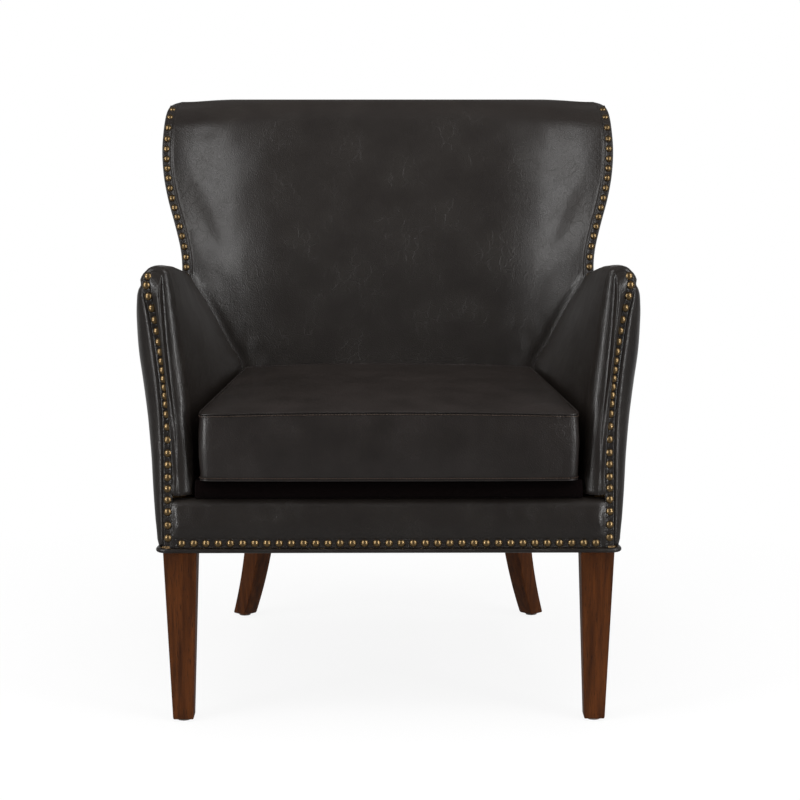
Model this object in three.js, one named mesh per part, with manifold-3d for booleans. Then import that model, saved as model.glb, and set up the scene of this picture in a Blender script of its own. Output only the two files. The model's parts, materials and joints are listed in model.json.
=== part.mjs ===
// Wingback armchair: hardwood frame, sprung seat, padded leather upholstery, nail-head trim.
//
// Units are millimetres. +X is to the right seen from in front, +Y goes back and +Z up. The
// origin is on the floor under the middle of the chair's box. Left and right in the names are
// those of someone who stands in front of the chair.
//
// The loose seat cushion lifts off the deck. Everything else is one fixed carcass: rails and
// corner blocks, arm and back posts, springs, padding, outer panels, nail bands and legs.

import * as THREE from 'three';
import { mergeVertices } from 'three/addons/utils/BufferGeometryUtils.js';
import Module from 'manifold-3d';

const wasm = await Module();
wasm.setup();

// Overall sizes
const overallHeight = 902;
const overallDepth = 760;
const wingSpan = 755;
const armSpan = 728;
const seatGap = 0.3;

// Legs and their hardware
const legLength = 254.4;
const glideHeight = 3;
const glideRadius = 10;
const frontLegTopWidth = 49.5;
const frontLegFootWidth = 30.5;
const frontLegTopInset = 58.8;
const frontLegFootInset = 60.2;
const frontLegSetback = 15;
const frontLegFootSetback = 3;
const rearLegTopWidth = 41;
const rearLegFootWidth = 29;
const rearLegSideInset = 45;
const rearLegTopInset = 30;
const rearLegSplay = 36;
const boltRadius = 4;
const boltLegDepth = 34;
const boltBlockDepth = 30;
const boltOffset = 12;

// Seat base; the rear of the base is narrower than the arms by a share
const baseRearShare = 0.72;
const railHeight = 75.7;
const railThickness = 28;
const railChamfer = 10;
const cornerBlockLeg = 74;
const cornerBlockHeight = 56;
const dustCoverThickness = 1.2;
const dustCoverInset = 12;
const baseRearInset = 78;
const borderInset = 15;
const borderThickness = 13;
const borderHeight = 72;
const borderTopRadius = 8;
const weltRadius = 3.5;
const panelThickness = 4;

// Arms
const wingRise = 288;
const armFrontRise = 60;
const armFrontLean = 14;
const armCornerRadius = 34;
const armRearReach = 100;
const wingStationReach = 19;
const armPadInner = 18;
const armPadFront = 16;
const armPostDepth = 28;
const armPostSideGap = 3;
const armRailHeight = 40;
const armRailFrontDrop = 42;
const armRailRearDrop = 56;

// Back and wings
const backTopNarrowing = 77.5;
const backFootDepth = 156;
const backHeadDepth = 60;
const wingProjection = 84;
const wingEdgeWidth = 18;
const wingEdgeDepth = 4;
const rollHeight = 36;
const backPadThickness = 38;
const backPostWidth = 36;
const backPostDepth = 40;
const backPostInset = 10;
const backPostRearInset = 6;
const wingFrameThickness = 16;
const wingFrameDrop = 52;
const crestRailHeight = 62;
const crestRailThickness = 20;
const lowerRailHeight = 46;
const lowerRailThickness = 24;
const lowerRailRise = 90;
const wingPanelDrop = 12;
const frameClearance = 0.4;

// Suspension
const springCount = 4;
const springSideInset = 100;
const springWire = 3.4;
const springHalfWidth = 21;
const springWaves = 8;
const springArch = 1.5;
const springEndInset = 9;
const tieWireThickness = 2;
const webbingCount = 3;
const webbingPitch = 130;
const webbingWidth = 50;
const webbingThickness = 1.5;
const insulatorThickness = 1.6;
const deckThickness = 21.3;
const deckFrontInset = 6;
const deckSideClearance = 3;

// Seat cushion
const cushionThickness = 112;
const cushionCrown = 12;
const cushionFrontClearance = 13;
const cushionRearClearance = 4;
const cushionBackClearance = 4;
const cushionCornerRadius = 20;
const cushionEdgeRadius = 9;
const cushionFrontBulge = 5;
const cushionSideDraw = 5;
const coverWall = 2.4;
const zipLength = 300;
const zipWidth = 12;

// Nail-head trim
const bandWidth = 17;
const bandThickness = 2;
const frontBandHeight = 14;
const nailRadius = 5.4;
const nailRise = 3.6;
const nailPitch = 16.3;
const frontNailPitch = 18.8;
const nailEndInset = 13;

// Levels and lines that follow from the sizes above
const railBottom = glideHeight + seatGap + legLength + seatGap;
const railTop = railBottom + railHeight;
const trimBottom = railBottom + weltRadius + weltRadius + seatGap;
const springTop = railTop + seatGap + springWire + springArch;
const padBottom = springTop + seatGap;
const rollBottom = overallHeight - rollHeight;
const frontLine = -overallDepth / 2;
const borderFace = frontLine + borderInset;
const railFront = borderFace + borderThickness + seatGap;
const rearTopLine = overallDepth / 2;
const rearBaseLine = rearTopLine - baseRearInset;
const armHalf = armSpan / 2;
const wingHalf = wingSpan / 2;
const armRearHeight = overallHeight - wingRise;
const armHeight = armRearHeight + armFrontRise;
const wingPanelFoot = armRearHeight - wingPanelDrop;
const wingFrameTop = overallHeight - wingFrameDrop;
const baseRearHalfWidth = armHalf * baseRearShare;
const backRearTopHalfWidth = wingHalf - backTopNarrowing;
const insideBackFoot = rearBaseLine - backFootDepth;
const insideBackHead = rearTopLine - backHeadDepth;
const wingStation = insideBackFoot + wingStationReach;
const frontLegTopHalfSpan = armHalf - frontLegTopInset;
const frontLegFootHalfSpan = armHalf - frontLegFootInset;
const rearLegTopHalfSpan = baseRearHalfWidth - rearLegSideInset;
const springPitch = (2 * (baseRearHalfWidth - springSideInset)) / (springCount - 1);
const tieWireBottom = springTop + seatGap;
const insulatorBottom = tieWireBottom + tieWireThickness + seatGap;
const deckBottom = insulatorBottom + insulatorThickness + seatGap;
const deckTop = deckBottom + deckThickness;
const cushionBottom = deckTop + seatGap;

// Cross-section of an arm at its front end and where it meets the wing, from the bottom of the
// outside, over the crest and down the inside: shares of the arm's half span and of its rise.
const armFrontShares = [
  [0.931, 0], [0.945, 0.206], [0.953, 0.333], [0.964, 0.461], [0.981, 0.587], [0.997, 0.711],
  [1, 0.82], [0.9945, 0.913], [0.975, 0.966], [0.94, 0.997], [0.901, 1], [0.868, 0.983],
  [0.849, 0.917], [0.827, 0.772], [0.802, 0.578], [0.786, 0.408], [0.783, 0.21], [0.783, 0],
];
const armRearShares = [
  [0.766, 0], [0.816, 0.225], [0.849, 0.365], [0.882, 0.5], [0.912, 0.635], [0.94, 0.774],
  [0.953, 0.88], [0.956, 0.937], [0.951, 0.971], [0.934, 0.994], [0.918, 1], [0.898, 0.989],
  [0.874, 0.943], [0.824, 0.868], [0.731, 0.688], [0.665, 0.553], [0.648, 0.24], [0.645, 0],
];
// How round the front edge of the arm is at each of those points, against the largest radius
const armCornerShares = [
  0.53, 0.7, 0.82, 0.92, 1, 1, 0.82, 0.5, 0.28, 0.22, 0.24, 0.3, 0.45, 0.58, 0.62, 0.58, 0.53,
  0.53,
];
const outerSeamIndex = 7;
const roundingShares = [0, 0.06, 0.2, 0.45, 1];
const crestFallPower = 1.3;
const armStationShares = [0.2, 0.4, 0.6, 0.8, 1];

// Outlines of the back against its rise from the seat rails: share of the rise, then the share
// of the size that the table follows
const insideBackShares = [
  [0, 0], [0.216, 0.167], [0.383, 0.345], [0.523, 0.494], [0.709, 0.695], [0.855, 0.85], [1, 1],
];
const wingProjectionShares = [
  [0, 0.2], [0.216, 0.42], [0.383, 0.66], [0.523, 0.8], [0.709, 0.917], [0.855, 1], [0.92, 0.93],
  [0.943, 0.83], [0.975, 0.55], [0.99, 0.33], [1, 0.17],
];
const wingSpanShares = [
  [0.46, 0.9086], [0.523, 0.9086], [0.569, 0.9166], [0.64, 0.943], [0.709, 0.972],
  [0.778, 0.992], [0.855, 1], [0.9415, 0.993], [0.97, 0.987], [0.9876, 0.975], [0.9947, 0.959],
  [1, 0.932],
];
const insideSpanShares = [0, 0.3, 0.55, 0.74, 0.85, 0.92, 0.97, 1];
const rearSpanShares = [0, 0.4, 0.75, 1];
const wingSideShares = [0.3, 0.58, 0.82, 0.97, 1];
const insideCurvePower = 4;
const rollCrownShare = 0.3;
const backLevelShares = [
  0, 0.11, 0.22, 0.33, 0.4, 0.52, 0.57, 0.64, 0.71, 0.78, 0.855, 0.91,
];
const rollLevelShares = [0, 0.3, 0.58, 0.8, 0.93, 1];
const panelLevelShares = [0, 0.15, 0.35, 0.6, 0.8, 1];
const rearPanelShares = [0.5, 1];
const acrossShares = [-1, -0.5, 0, 0.5, 1];
const legDropShares = [1, 0.8, 0.6, 0.4, 0.2, 0];
const waveShares = [0.15, 0.85];
const turnShares = [0, 0.5, 1];
const cushionSideShares = [1 / 6, 1 / 3, 1 / 2, 2 / 3, 5 / 6];
const crownShares = [0.7, 0.4, 0.1];
const underShare = 0.4;
const drawnShareMost = 0.4;
const wireMiterLeastShare = 0.5;
// Outline of a nail head: share of its radius, then of its rise
const nailShares = [[1, 0.3], [0.5, 1]];
const pinSides = 10;
const weltSides = 8;
const nailSides = 6;

const leatherColour = 0x2b2725;
const foamColour = 0xd9c88a;
const timberColour = 0xc8a373;
const walnutColour = 0x6b3f22;
const brassColour = 0x8a6b3a;
const steelColour = 0x8d9094;
const clothColour = 0x1d1d1f;
const webbingColour = 0x7b6a4a;
const nylonColour = 0x2f2a26;

const chair = new THREE.Group();

// Finish of one sub-part
function finish(color, roughness, metalness) {
  return new THREE.MeshStandardMaterial({ color, roughness, metalness });
}

// Adds one named sub-part
function add(name, geometry, material) {
  const mesh = new THREE.Mesh(geometry, material);
  mesh.name = name;
  chair.add(mesh);
  return mesh;
}

const leather = () => finish(leatherColour, 0.35, 0);
const timber = () => finish(timberColour, 0.75, 0);
const walnut = () => finish(walnutColour, 0.4, 0);
const brass = () => finish(brassColour, 0.35, 0.9);
const steel = () => finish(steelColour, 0.4, 0.9);

const lerp = THREE.MathUtils.lerp;
const clamp = THREE.MathUtils.clamp;

// Smooth value of a table of [place, value] rows at a place
function smoothAt(table, place) {
  const last = table.length - 1;
  const at = clamp(place, table[0][0], table[last][0]);
  let row = 0;
  while (row < last - 1 && at > table[row + 1][0]) row += 1;
  const slope = (index) => {
    const before = Math.max(index - 1, 0);
    const after = Math.min(index + 1, last);
    return (table[after][1] - table[before][1]) / (table[after][0] - table[before][0]);
  };
  const span = table[row + 1][0] - table[row][0];
  const t = (at - table[row][0]) / span;
  const t2 = t * t;
  const t3 = t2 * t;
  return (2 * t3 - 3 * t2 + 1) * table[row][1] + (t3 - 2 * t2 + t) * span * slope(row)
    + (3 * t2 - 2 * t3) * table[row + 1][1] + (t3 - t2) * span * slope(row + 1);
}

// Closed geometry from corner points and triangles, turned so that its faces look out
function closedGeometry(points, faces) {
  let volume = 0;
  for (const [a, b, c] of faces) {
    volume += points[a].dot(new THREE.Vector3().crossVectors(points[b], points[c]));
  }
  const index = faces.flatMap(([a, b, c]) => (volume > 0 ? [a, b, c] : [a, c, b]));
  const geometry = new THREE.BufferGeometry();
  const positions = points.flatMap((point) => [point.x, point.y, point.z]);
  geometry.setAttribute('position', new THREE.Float32BufferAttribute(positions, 3));
  geometry.setIndex(index);
  return geometry;
}

// Solid through closed rings of equal count. A ring runs up one side of its section and back
// down the other, so that the rungs between the two sides close its ends.
function loft(rings) {
  const count = rings[0].length;
  const points = rings.flat();
  const faces = [];
  for (let ring = 0; ring < rings.length - 1; ring += 1) {
    for (let i = 0; i < count; i += 1) {
      const a = ring * count + i;
      const b = ring * count + ((i + 1) % count);
      faces.push([a, b, b + count], [a, b + count, a + count]);
    }
  }
  const last = (rings.length - 1) * count;
  for (let i = 0; i + 1 < count - 1 - i; i += 1) {
    const far = count - 1 - i;
    faces.push([i + 1, i, far], [last + i, last + i + 1, last + far]);
    if (far - 1 > i + 1) {
      faces.push([i + 1, far, far - 1], [last + i + 1, last + far - 1, last + far]);
    }
  }
  return closedGeometry(points, faces);
}

// Plate between two equal grids of points
function slab(outer, inner) {
  const rows = outer.length;
  const columns = outer[0].length;
  const points = [...outer.flat(), ...inner.flat()];
  const under = rows * columns;
  const at = (row, column) => row * columns + column;
  const faces = [];
  for (let row = 0; row < rows - 1; row += 1) {
    for (let column = 0; column < columns - 1; column += 1) {
      const a = at(row, column);
      const b = at(row, column + 1);
      const c = at(row + 1, column + 1);
      const d = at(row + 1, column);
      faces.push([a, b, c], [a, c, d]);
      faces.push([under + a, under + c, under + b], [under + a, under + d, under + c]);
    }
  }
  const edge = (a, b) => faces.push([b, a, under + a], [b, under + a, under + b]);
  for (let column = 0; column < columns - 1; column += 1) {
    edge(at(0, column), at(0, column + 1));
    edge(at(rows - 1, column + 1), at(rows - 1, column));
  }
  for (let row = 0; row < rows - 1; row += 1) {
    edge(at(row + 1, 0), at(row, 0));
    edge(at(row, columns - 1), at(row + 1, columns - 1));
  }
  return closedGeometry(points, faces);
}

// Grid moved along its own normals; outward points from the middle of the chair's arm or back
function offsetGrid(grid, distance, outward) {
  const rows = grid.length;
  const columns = grid[0].length;
  return grid.map((line, row) => line.map((point, column) => {
    const left = line[Math.max(column - 1, 0)];
    const right = line[Math.min(column + 1, columns - 1)];
    const low = grid[Math.max(row - 1, 0)][column];
    const high = grid[Math.min(row + 1, rows - 1)][column];
    const along = new THREE.Vector3().subVectors(right, left);
    const up = new THREE.Vector3().subVectors(high, low);
    const normal = new THREE.Vector3().crossVectors(along, up).normalize();
    if (normal.dot(outward) < 0) normal.negate();
    return point.clone().addScaledVector(normal, distance);
  }));
}

// Upright prism over a plan outline of [x, y] corners
function planPrism(corners, bottom, top) {
  const shape = new THREE.Shape(corners.map(([x, y]) => new THREE.Vector2(x, y)));
  const geometry = new THREE.ExtrudeGeometry(shape, { depth: top - bottom, bevelEnabled: false });
  return geometry.translate(0, 0, bottom);
}

// The same geometry on the other side of the chair
function mirrored(geometry) {
  const copy = toIndexed(geometry);
  copy.scale(-1, 1, 1);
  const index = copy.getIndex().array.slice();
  for (let i = 0; i < index.length; i += 3) {
    [index[i + 1], index[i + 2]] = [index[i + 2], index[i + 1]];
  }
  copy.setIndex(new THREE.BufferAttribute(index, 1));
  return copy;
}

function toIndexed(geometry) {
  const bare = geometry.clone();
  bare.deleteAttribute('normal');
  bare.deleteAttribute('uv');
  return mergeVertices(bare);
}

function toSolid(geometry) {
  const merged = toIndexed(geometry);
  return new wasm.Manifold(new wasm.Mesh({
    numProp: 3,
    vertProperties: new Float32Array(merged.getAttribute('position').array),
    triVerts: new Uint32Array(merged.getIndex().array),
  }));
}

function toGeometry(solid) {
  const mesh = solid.getMesh();
  const geometry = new THREE.BufferGeometry();
  geometry.setAttribute('position', new THREE.BufferAttribute(mesh.vertProperties, mesh.numProp));
  geometry.setIndex(new THREE.BufferAttribute(mesh.triVerts, 1));
  return geometry;
}

// First geometry without the volume of the others
function cut(geometry, ...cutters) {
  return toGeometry(cutters.reduce((left, cutter) => left.subtract(toSolid(cutter)),
    toSolid(geometry)));
}

// First geometry joined to the others
function join(geometry, ...others) {
  return toGeometry(others.reduce((left, other) => left.add(toSolid(other)), toSolid(geometry)));
}

const vec = (x, y, z) => new THREE.Vector3(x, y, z);

// Arms

const armFront = borderFace + armFrontLean;
const frontRise = armHeight - trimBottom;
const rearRise = armRearHeight - trimBottom;

// Face of the arm fronts and of the seat border, which leans back a little as it rises
function frontFace(z) {
  return borderFace + (armFrontLean * (z - trimBottom)) / frontRise;
}

// Section of the right arm at a depth, as [x, z] points
function armPoints(y) {
  const way = clamp((y - armFront) / (wingStation - armFront), 0, 1);
  const rise = lerp(frontRise, rearRise, way ** crestFallPower);
  return armFrontShares.map(([xShare, zShare], i) => new THREE.Vector2(
    armHalf * lerp(xShare, armRearShares[i][0], way),
    trimBottom + rise * lerp(zShare, armRearShares[i][1], way),
  ));
}

function crestHeight(y) {
  return Math.max(...armPoints(y).map((point) => point.y));
}

// Half span at a height on the outside or the inside of the arm
function armSide(y, z, side) {
  const points = armPoints(y);
  const crest = armFrontShares.findIndex(([, zShare]) => zShare === 1);
  const line = side === 'outer' ? points.slice(0, crest + 1) : points.slice(crest).reverse();
  let i = 0;
  while (i < line.length - 2 && z > line[i + 1].y) i += 1;
  const share = clamp((z - line[i].y) / (line[i + 1].y - line[i].y), 0, 1);
  return lerp(line[i].x, line[i + 1].x, share);
}

// Outer line of the upholstery at a height behind the wing station
function rearCorner(z) {
  const rise = clamp((z - railBottom) / (overallHeight - railBottom), 0, 1);
  const lean = clamp((z - railBottom) / (rollBottom - railBottom), 0, 1);
  return new THREE.Vector2(
    lerp(baseRearHalfWidth, backRearTopHalfWidth, rise),
    lerp(rearBaseLine, rearTopLine, lean),
  );
}

// One station of the arm's outside: depth behind the front face while the front edge is still
// round, then shares of the way back to the wing
function armStation(depth, way) {
  const y = lerp(armFront + depth, wingStation, way);
  const points = armPoints(y);
  return points.map((point, i) => {
    const before = points[Math.max(i - 1, 0)];
    const after = points[Math.min(i + 1, points.length - 1)];
    const inward = new THREE.Vector2(before.y - after.y, after.x - before.x).normalize();
    const radius = armCornerRadius * armCornerShares[i];
    const left = Math.max(radius - depth, 0);
    const inset = way > 0 ? 0 : radius - Math.sqrt(radius * radius - left * left);
    const placed = point.clone().addScaledVector(inward, inset);
    const lean = (frontFace(point.y) - armFront) * (1 - way);
    return vec(placed.x, y + lean, placed.y);
  });
}

const armStations = [
  ...roundingShares.map((share) => armStation(armCornerRadius * share, 0)),
  ...armStationShares.map((share) => armStation(armCornerRadius, share)),
];

function armEnvelope() {
  const wing = armStations[armStations.length - 1];
  return loft([...armStations, wing.map((point) => point.clone().setY(wingStation + armRearReach))]);
}

// Outside of the arm from its nail line round to the rear corner, below the crest
function outerArmGrid() {
  const columns = armStations.map((station) => station.slice(0, outerSeamIndex + 1));
  const wing = columns[columns.length - 1];
  const topShare = armRearShares[outerSeamIndex][1];
  for (const share of rearPanelShares) {
    columns.push(wing.map((point, row) => {
      const high = trimBottom + ((wingPanelFoot - trimBottom) * armRearShares[row][1]) / topShare;
      const z = lerp(point.z, high, share);
      const corner = rearCorner(z);
      return vec(lerp(point.x, corner.x, share), lerp(point.y, corner.y, share), z);
    }));
  }
  return columns[0].map((_, row) => columns.map((column) => column[row]));
}

// Grid with its border drawn in by a distance
function trimmed(grid, distance) {
  const drawn = (from, to) => {
    const length = from.distanceTo(to);
    return from.clone().lerp(to, Math.min(distance / length, drawnShareMost));
  };
  const last = grid.length - 1;
  const rows = grid.map((line, row) => {
    if (row === 0) return line.map((point, i) => drawn(point, grid[1][i]));
    if (row === last) return line.map((point, i) => drawn(point, grid[last - 1][i]));
    return line.map((point) => point.clone());
  });
  return rows.map((line) => {
    const end = line.length - 1;
    const ends = [drawn(line[0], line[1]), drawn(line[end], line[end - 1])];
    return [ends[0], ...line.slice(1, end), ends[1]];
  });
}

const outwardSide = vec(1, -0.5, 0);
const outwardBack = vec(0, 1, 0);
const outwardFront = vec(0, -1, 0);
const cutterOverrun = 12;

function panel(grid, outward) {
  const own = trimmed(grid, seatGap);
  return slab(own, offsetGrid(own, -panelThickness, outward));
}

function panelCutter(grid, outward) {
  const inner = offsetGrid(grid, -panelThickness - seatGap, outward);
  return slab(offsetGrid(grid, cutterOverrun, outward), inner);
}

// Heights of the space for the frame inside an arm
function armCavityTop(y) {
  const way = clamp((y - armFront) / (wingStation - armFront), 0, 1);
  return crestHeight(y) - lerp(armRailFrontDrop, armRailRearDrop, way);
}

// How far the round front edge takes off the arm's side at a depth behind its face
function edgeInset(y) {
  const left = Math.max(armCornerRadius - (y - armFront), 0);
  return armCornerRadius - Math.sqrt(armCornerRadius * armCornerRadius - left * left);
}

// Ring at one depth between two distances from the arm's outer and inner faces
function armFrameRing(y, heights, outerInset, innerInset) {
  const outer = heights.map((z) => vec(armSide(y, z, 'outer') - outerInset - edgeInset(y), y, z));
  const inner = heights.map((z) => vec(armSide(y, z, 'inner') + innerInset, y, z));
  return [...outer, ...inner.reverse()];
}

const armFrameFront = armFront + armPadFront;
const postRear = armFrameFront + armPostDepth;
const frameOuterInset = panelThickness + armPostSideGap;

function armFrameHeights(y, clearance) {
  const top = armCavityTop(y) + clearance;
  return panelLevelShares.map((share) => lerp(railTop, top, share));
}

function armCavity() {
  const depths = [armFrameFront - frameClearance, postRear];
  for (const share of armStationShares) depths.push(lerp(postRear, wingStation, share));
  depths.push(wingStation + armRearReach + armRearReach);
  const low = trimBottom - cutterOverrun;
  return loft(depths.map((y) => armFrameRing(y, [low, ...armFrameHeights(y, frameClearance)],
    -cutterOverrun - armCornerRadius, armPadInner - frameClearance)));
}

function armPost() {
  return loft([armFrameFront, postRear].map((y) => {
    const [, ...heights] = armFrameHeights(y, 0);
    return armFrameRing(y, [railTop + seatGap, ...heights], frameOuterInset, armPadInner);
  }));
}

// Back and wings

const backRise = overallHeight - padBottom;
const roofShare = (z) => clamp((z - padBottom) / backRise, 0, 1);

function insideBackCentre(z) {
  return lerp(insideBackFoot, insideBackHead, smoothAt(insideBackShares, roofShare(z)));
}

function wingLine(z) {
  return insideBackCentre(z) - wingProjection * smoothAt(wingProjectionShares, roofShare(z));
}

// Half span of the wing's front edge; below the wing it is that of the arm
function wingHalfAt(z) {
  if (z < wingPanelFoot) return armSide(wingLine(z), z, 'outer');
  return wingHalf * smoothAt(wingSpanShares, roofShare(z));
}

// Depth of the inside back at a height and a half span
function insideBack(z, x) {
  const reach = Math.min(Math.abs(x) / (wingHalfAt(z) - wingEdgeWidth), 1);
  const projection = insideBackCentre(z) - wingLine(z);
  return insideBackCentre(z) - projection * reach ** insideCurvePower;
}

// Right half of the back's section: points on its front and the ones behind them
function backHalf(z) {
  const edge = wingHalfAt(z);
  const corner = rearCorner(z);
  const wing = new THREE.Vector2(edge, wingLine(z) + wingEdgeDepth);
  const front = insideSpanShares.map((share) => {
    const x = share * (edge - wingEdgeWidth);
    return new THREE.Vector2(x, insideBack(z, x));
  });
  front.push(new THREE.Vector2(edge - wingEdgeDepth / 2, wingLine(z)));
  const rear = rearSpanShares.map((share) => new THREE.Vector2(share * corner.x, corner.y));
  for (const share of wingSideShares) rear.push(corner.clone().lerp(wing, share));
  const crown = clamp((z - rollBottom) / rollHeight, 0, 1);
  const keep = lerp(rollCrownShare, 1, Math.sqrt(1 - crown * crown));
  front.forEach((point, i) => {
    const middle = point.clone().add(rear[i]).multiplyScalar(0.5);
    point.sub(middle).multiplyScalar(keep).add(middle);
    rear[i].sub(middle).multiplyScalar(keep).add(middle);
  });
  return { front, rear };
}

// Closed ring over the full width from the right halves of its front and rear lines
function wholeRing(front, rear, z) {
  const side = (line, sign) => line.map((point) => vec(sign * point.x, point.y, z));
  const across = (line) => [...side(line.slice(1), -1).reverse(), ...side(line, 1)];
  return [...across(front), ...across(rear).reverse()];
}

const backLevels = [
  ...backLevelShares.map((share) => padBottom + share * backRise),
  ...rollLevelShares.map((share) => rollBottom + share * rollHeight),
];
const levelsBelow = backLevels.filter((z) => z < wingPanelFoot - panelThickness);
const levelsAbove = backLevels.filter((z) => z > wingPanelFoot + panelThickness);
const envelopeLevels = [...levelsBelow, wingPanelFoot - seatGap, wingPanelFoot, ...levelsAbove];

function backEnvelope() {
  return loft(envelopeLevels.map((z) => {
    const { front, rear } = backHalf(z);
    return wholeRing(front, rear, z);
  }));
}

// Everything behind the front of the back, to end the arms there
function behindBack() {
  const far = wingHalf + armRearReach;
  const levels = [trimBottom - cutterOverrun, ...envelopeLevels.filter((z) => z < rollBottom)];
  return loft(levels.map((z) => {
    const high = Math.max(z, padBottom);
    const front = backHalf(high).front.slice(0, -1);
    const last = front[front.length - 1];
    front.push(new THREE.Vector2(far, last.y));
    const shifted = front.map((point) => new THREE.Vector2(point.x, point.y - seatGap));
    const rear = shifted.map((point) => new THREE.Vector2(point.x, overallDepth));
    return wholeRing(shifted, rear, z);
  }));
}

// Board line of the wing frame: its middle points at the bend and the tip, with their normals
function wingFrameLine(z) {
  const { front, rear } = backHalf(z);
  const count = insideSpanShares.length;
  return [count - 4, count - 2].map((i) => {
    const middle = front[i].clone().add(rear[i]).multiplyScalar(0.5);
    const through = rear[i].clone().sub(front[i]).normalize();
    return { middle, through };
  });
}

function aside(place, distance) {
  return place.middle.clone().addScaledVector(place.through, distance);
}

const postReach = backPostRearInset + backPostDepth;

// Section of a wing frame, thicker and longer by a spread
function wingFrameRing(z, spread) {
  const half = wingFrameThickness / 2 + spread;
  const [bend, tip] = wingFrameLine(z);
  const outward = tip.middle.clone().sub(bend.middle).normalize().multiplyScalar(spread);
  const corner = rearCorner(z);
  const rootY = corner.y - postReach - frameClearance + spread;
  const rootX = corner.x - backPostInset - armPostSideGap + spread;
  const rootWidth = wingFrameThickness + spread + spread;
  const ring = [
    aside(tip, -half).add(outward), aside(bend, -half),
    new THREE.Vector2(rootX - rootWidth, rootY), new THREE.Vector2(rootX, rootY),
    aside(bend, half), aside(tip, half).add(outward),
  ];
  return ring.map((point) => vec(point.x, point.y, z));
}

function wingFrame(spread) {
  const levels = envelopeLevels.filter((z) => z > padBottom && z < wingFrameTop - rollHeight / 2);
  const ends = [railTop + seatGap - spread, wingFrameTop + spread];
  const rings = levels.map((z) => wingFrameRing(z, spread));
  return loft([wingFrameRing(ends[0], spread), ...rings, wingFrameRing(ends[1], spread)]);
}

// Space for the frame inside the back, open to the rear and below
function backCavity() {
  const levels = envelopeLevels.filter((z) => z > padBottom && z < rollBottom);
  return loft([padBottom, ...levels, rollBottom - seatGap].map((z) => {
    const { front, rear } = backHalf(z);
    const corner = rearCorner(z);
    const near = rearSpanShares.map((share, i) => {
      const through = rear[i].clone().sub(front[i]).normalize();
      return front[i].clone().addScaledVector(through, backPadThickness);
    });
    const outer = corner.x - backPostInset + frameClearance;
    near.push(new THREE.Vector2(outer, corner.y - postReach - frameClearance));
    const far = near.map((_, i) => {
      const share = i / (near.length - 1);
      return new THREE.Vector2(share * outer, overallDepth);
    });
    return wholeRing(near, far, z === padBottom ? railTop : z);
  }));
}

function wingPanelGrid() {
  const top = rollBottom - seatGap;
  return panelLevelShares.map((levelShare) => {
    const z = lerp(wingPanelFoot, top, levelShare);
    const { rear } = backHalf(z);
    const line = rear.slice(rearSpanShares.length - 1).reverse();
    return line.map((point) => vec(point.x, point.y, z));
  });
}

function backPanelGrid() {
  const edge = panelThickness + panelThickness / 2;
  return panelLevelShares.map((levelShare) => {
    const z = lerp(trimBottom, rollBottom - seatGap, levelShare);
    const corner = rearCorner(z);
    const half = corner.x - edge;
    return acrossShares.map((share) => vec(share * half, corner.y, z));
  });
}

// Straight timber of the back between two heights: a four-cornered bar
function backPost() {
  return loft([railTop + seatGap, rollBottom - armPostSideGap].map((z) => {
    const corner = rearCorner(z);
    const outer = corner.x - backPostInset;
    const rear = corner.y - backPostRearInset;
    return [
      vec(outer, rear, z), vec(outer, rear - backPostDepth, z),
      vec(outer - backPostWidth, rear - backPostDepth, z), vec(outer - backPostWidth, rear, z),
    ];
  }));
}

function crossRail(bottom, height, thickness) {
  return loft([bottom, bottom + height].map((z) => {
    const corner = rearCorner(z);
    const half = corner.x - backPostInset - backPostWidth - seatGap;
    const rear = corner.y - backPostRearInset;
    return [
      vec(half, rear, z), vec(half, rear - thickness, z),
      vec(-half, rear - thickness, z), vec(-half, rear, z),
    ];
  }));
}

const crestRailBottom = rollBottom - armPostSideGap - crestRailHeight;
const lowerRailBottom = railTop + lowerRailRise;

function armRail() {
  const tipDepth = (z) => aside(wingFrameLine(z)[1], -wingFrameThickness / 2).y;
  const rearTop = armCavityTop(wingStation);
  const reach = Math.min(tipDepth(rearTop), tipDepth(rearTop - armRailHeight)) - frameClearance;
  const depths = [postRear + seatGap, lerp(postRear, reach, 0.5), reach];
  return (spread) => loft(depths.map((y) => {
    const top = armCavityTop(y) + spread;
    const bottom = top - armRailHeight - spread - spread;
    return armFrameRing(y, [bottom, top], frameOuterInset - spread, armPadInner - spread);
  }));
}

// Seat base

// Half span of the panels' outer line along the bottom
function baseHalf(y) {
  const front = armFrontShares[0][0] * armHalf;
  return lerp(front, baseRearHalfWidth, (y - borderFace) / (rearBaseLine - borderFace));
}

const sideInset = panelThickness + seatGap + seatGap;
const backRailRear = rearBaseLine - sideInset;

// Rail across the seat with its two outside corners taken off; outside is its outer face
function crossSeatRail(outside, inside) {
  const outer = (y) => baseHalf(y) - sideInset;
  const step = railChamfer * Math.sign(inside - outside);
  const right = [
    [outer(outside) - railChamfer, outside], [outer(outside + step), outside + step],
    [outer(inside), inside],
  ];
  const left = right.map(([x, y]) => [-x, y]).reverse();
  return planPrism([...right, ...left], railBottom, railTop);
}

const sideRailFront = railFront + railThickness + seatGap;
const sideRailRear = backRailRear - railThickness - seatGap;

function sideSeatRail() {
  const outer = (y) => baseHalf(y) - sideInset;
  return planPrism([
    [outer(sideRailFront), sideRailFront], [outer(sideRailRear), sideRailRear],
    [outer(sideRailRear) - railThickness, sideRailRear],
    [outer(sideRailFront) - railThickness, sideRailFront],
  ], railBottom, railTop);
}

function cornerBlock(y, direction) {
  const inner = (depth) => baseHalf(depth) - sideInset - railThickness - seatGap;
  const near = y + direction * seatGap;
  const far = near + direction * cornerBlockLeg;
  return planPrism([
    [inner(near), near], [inner(far), far], [inner(near) - cornerBlockLeg, near],
  ], railBottom, railBottom + cornerBlockHeight);
}

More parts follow.
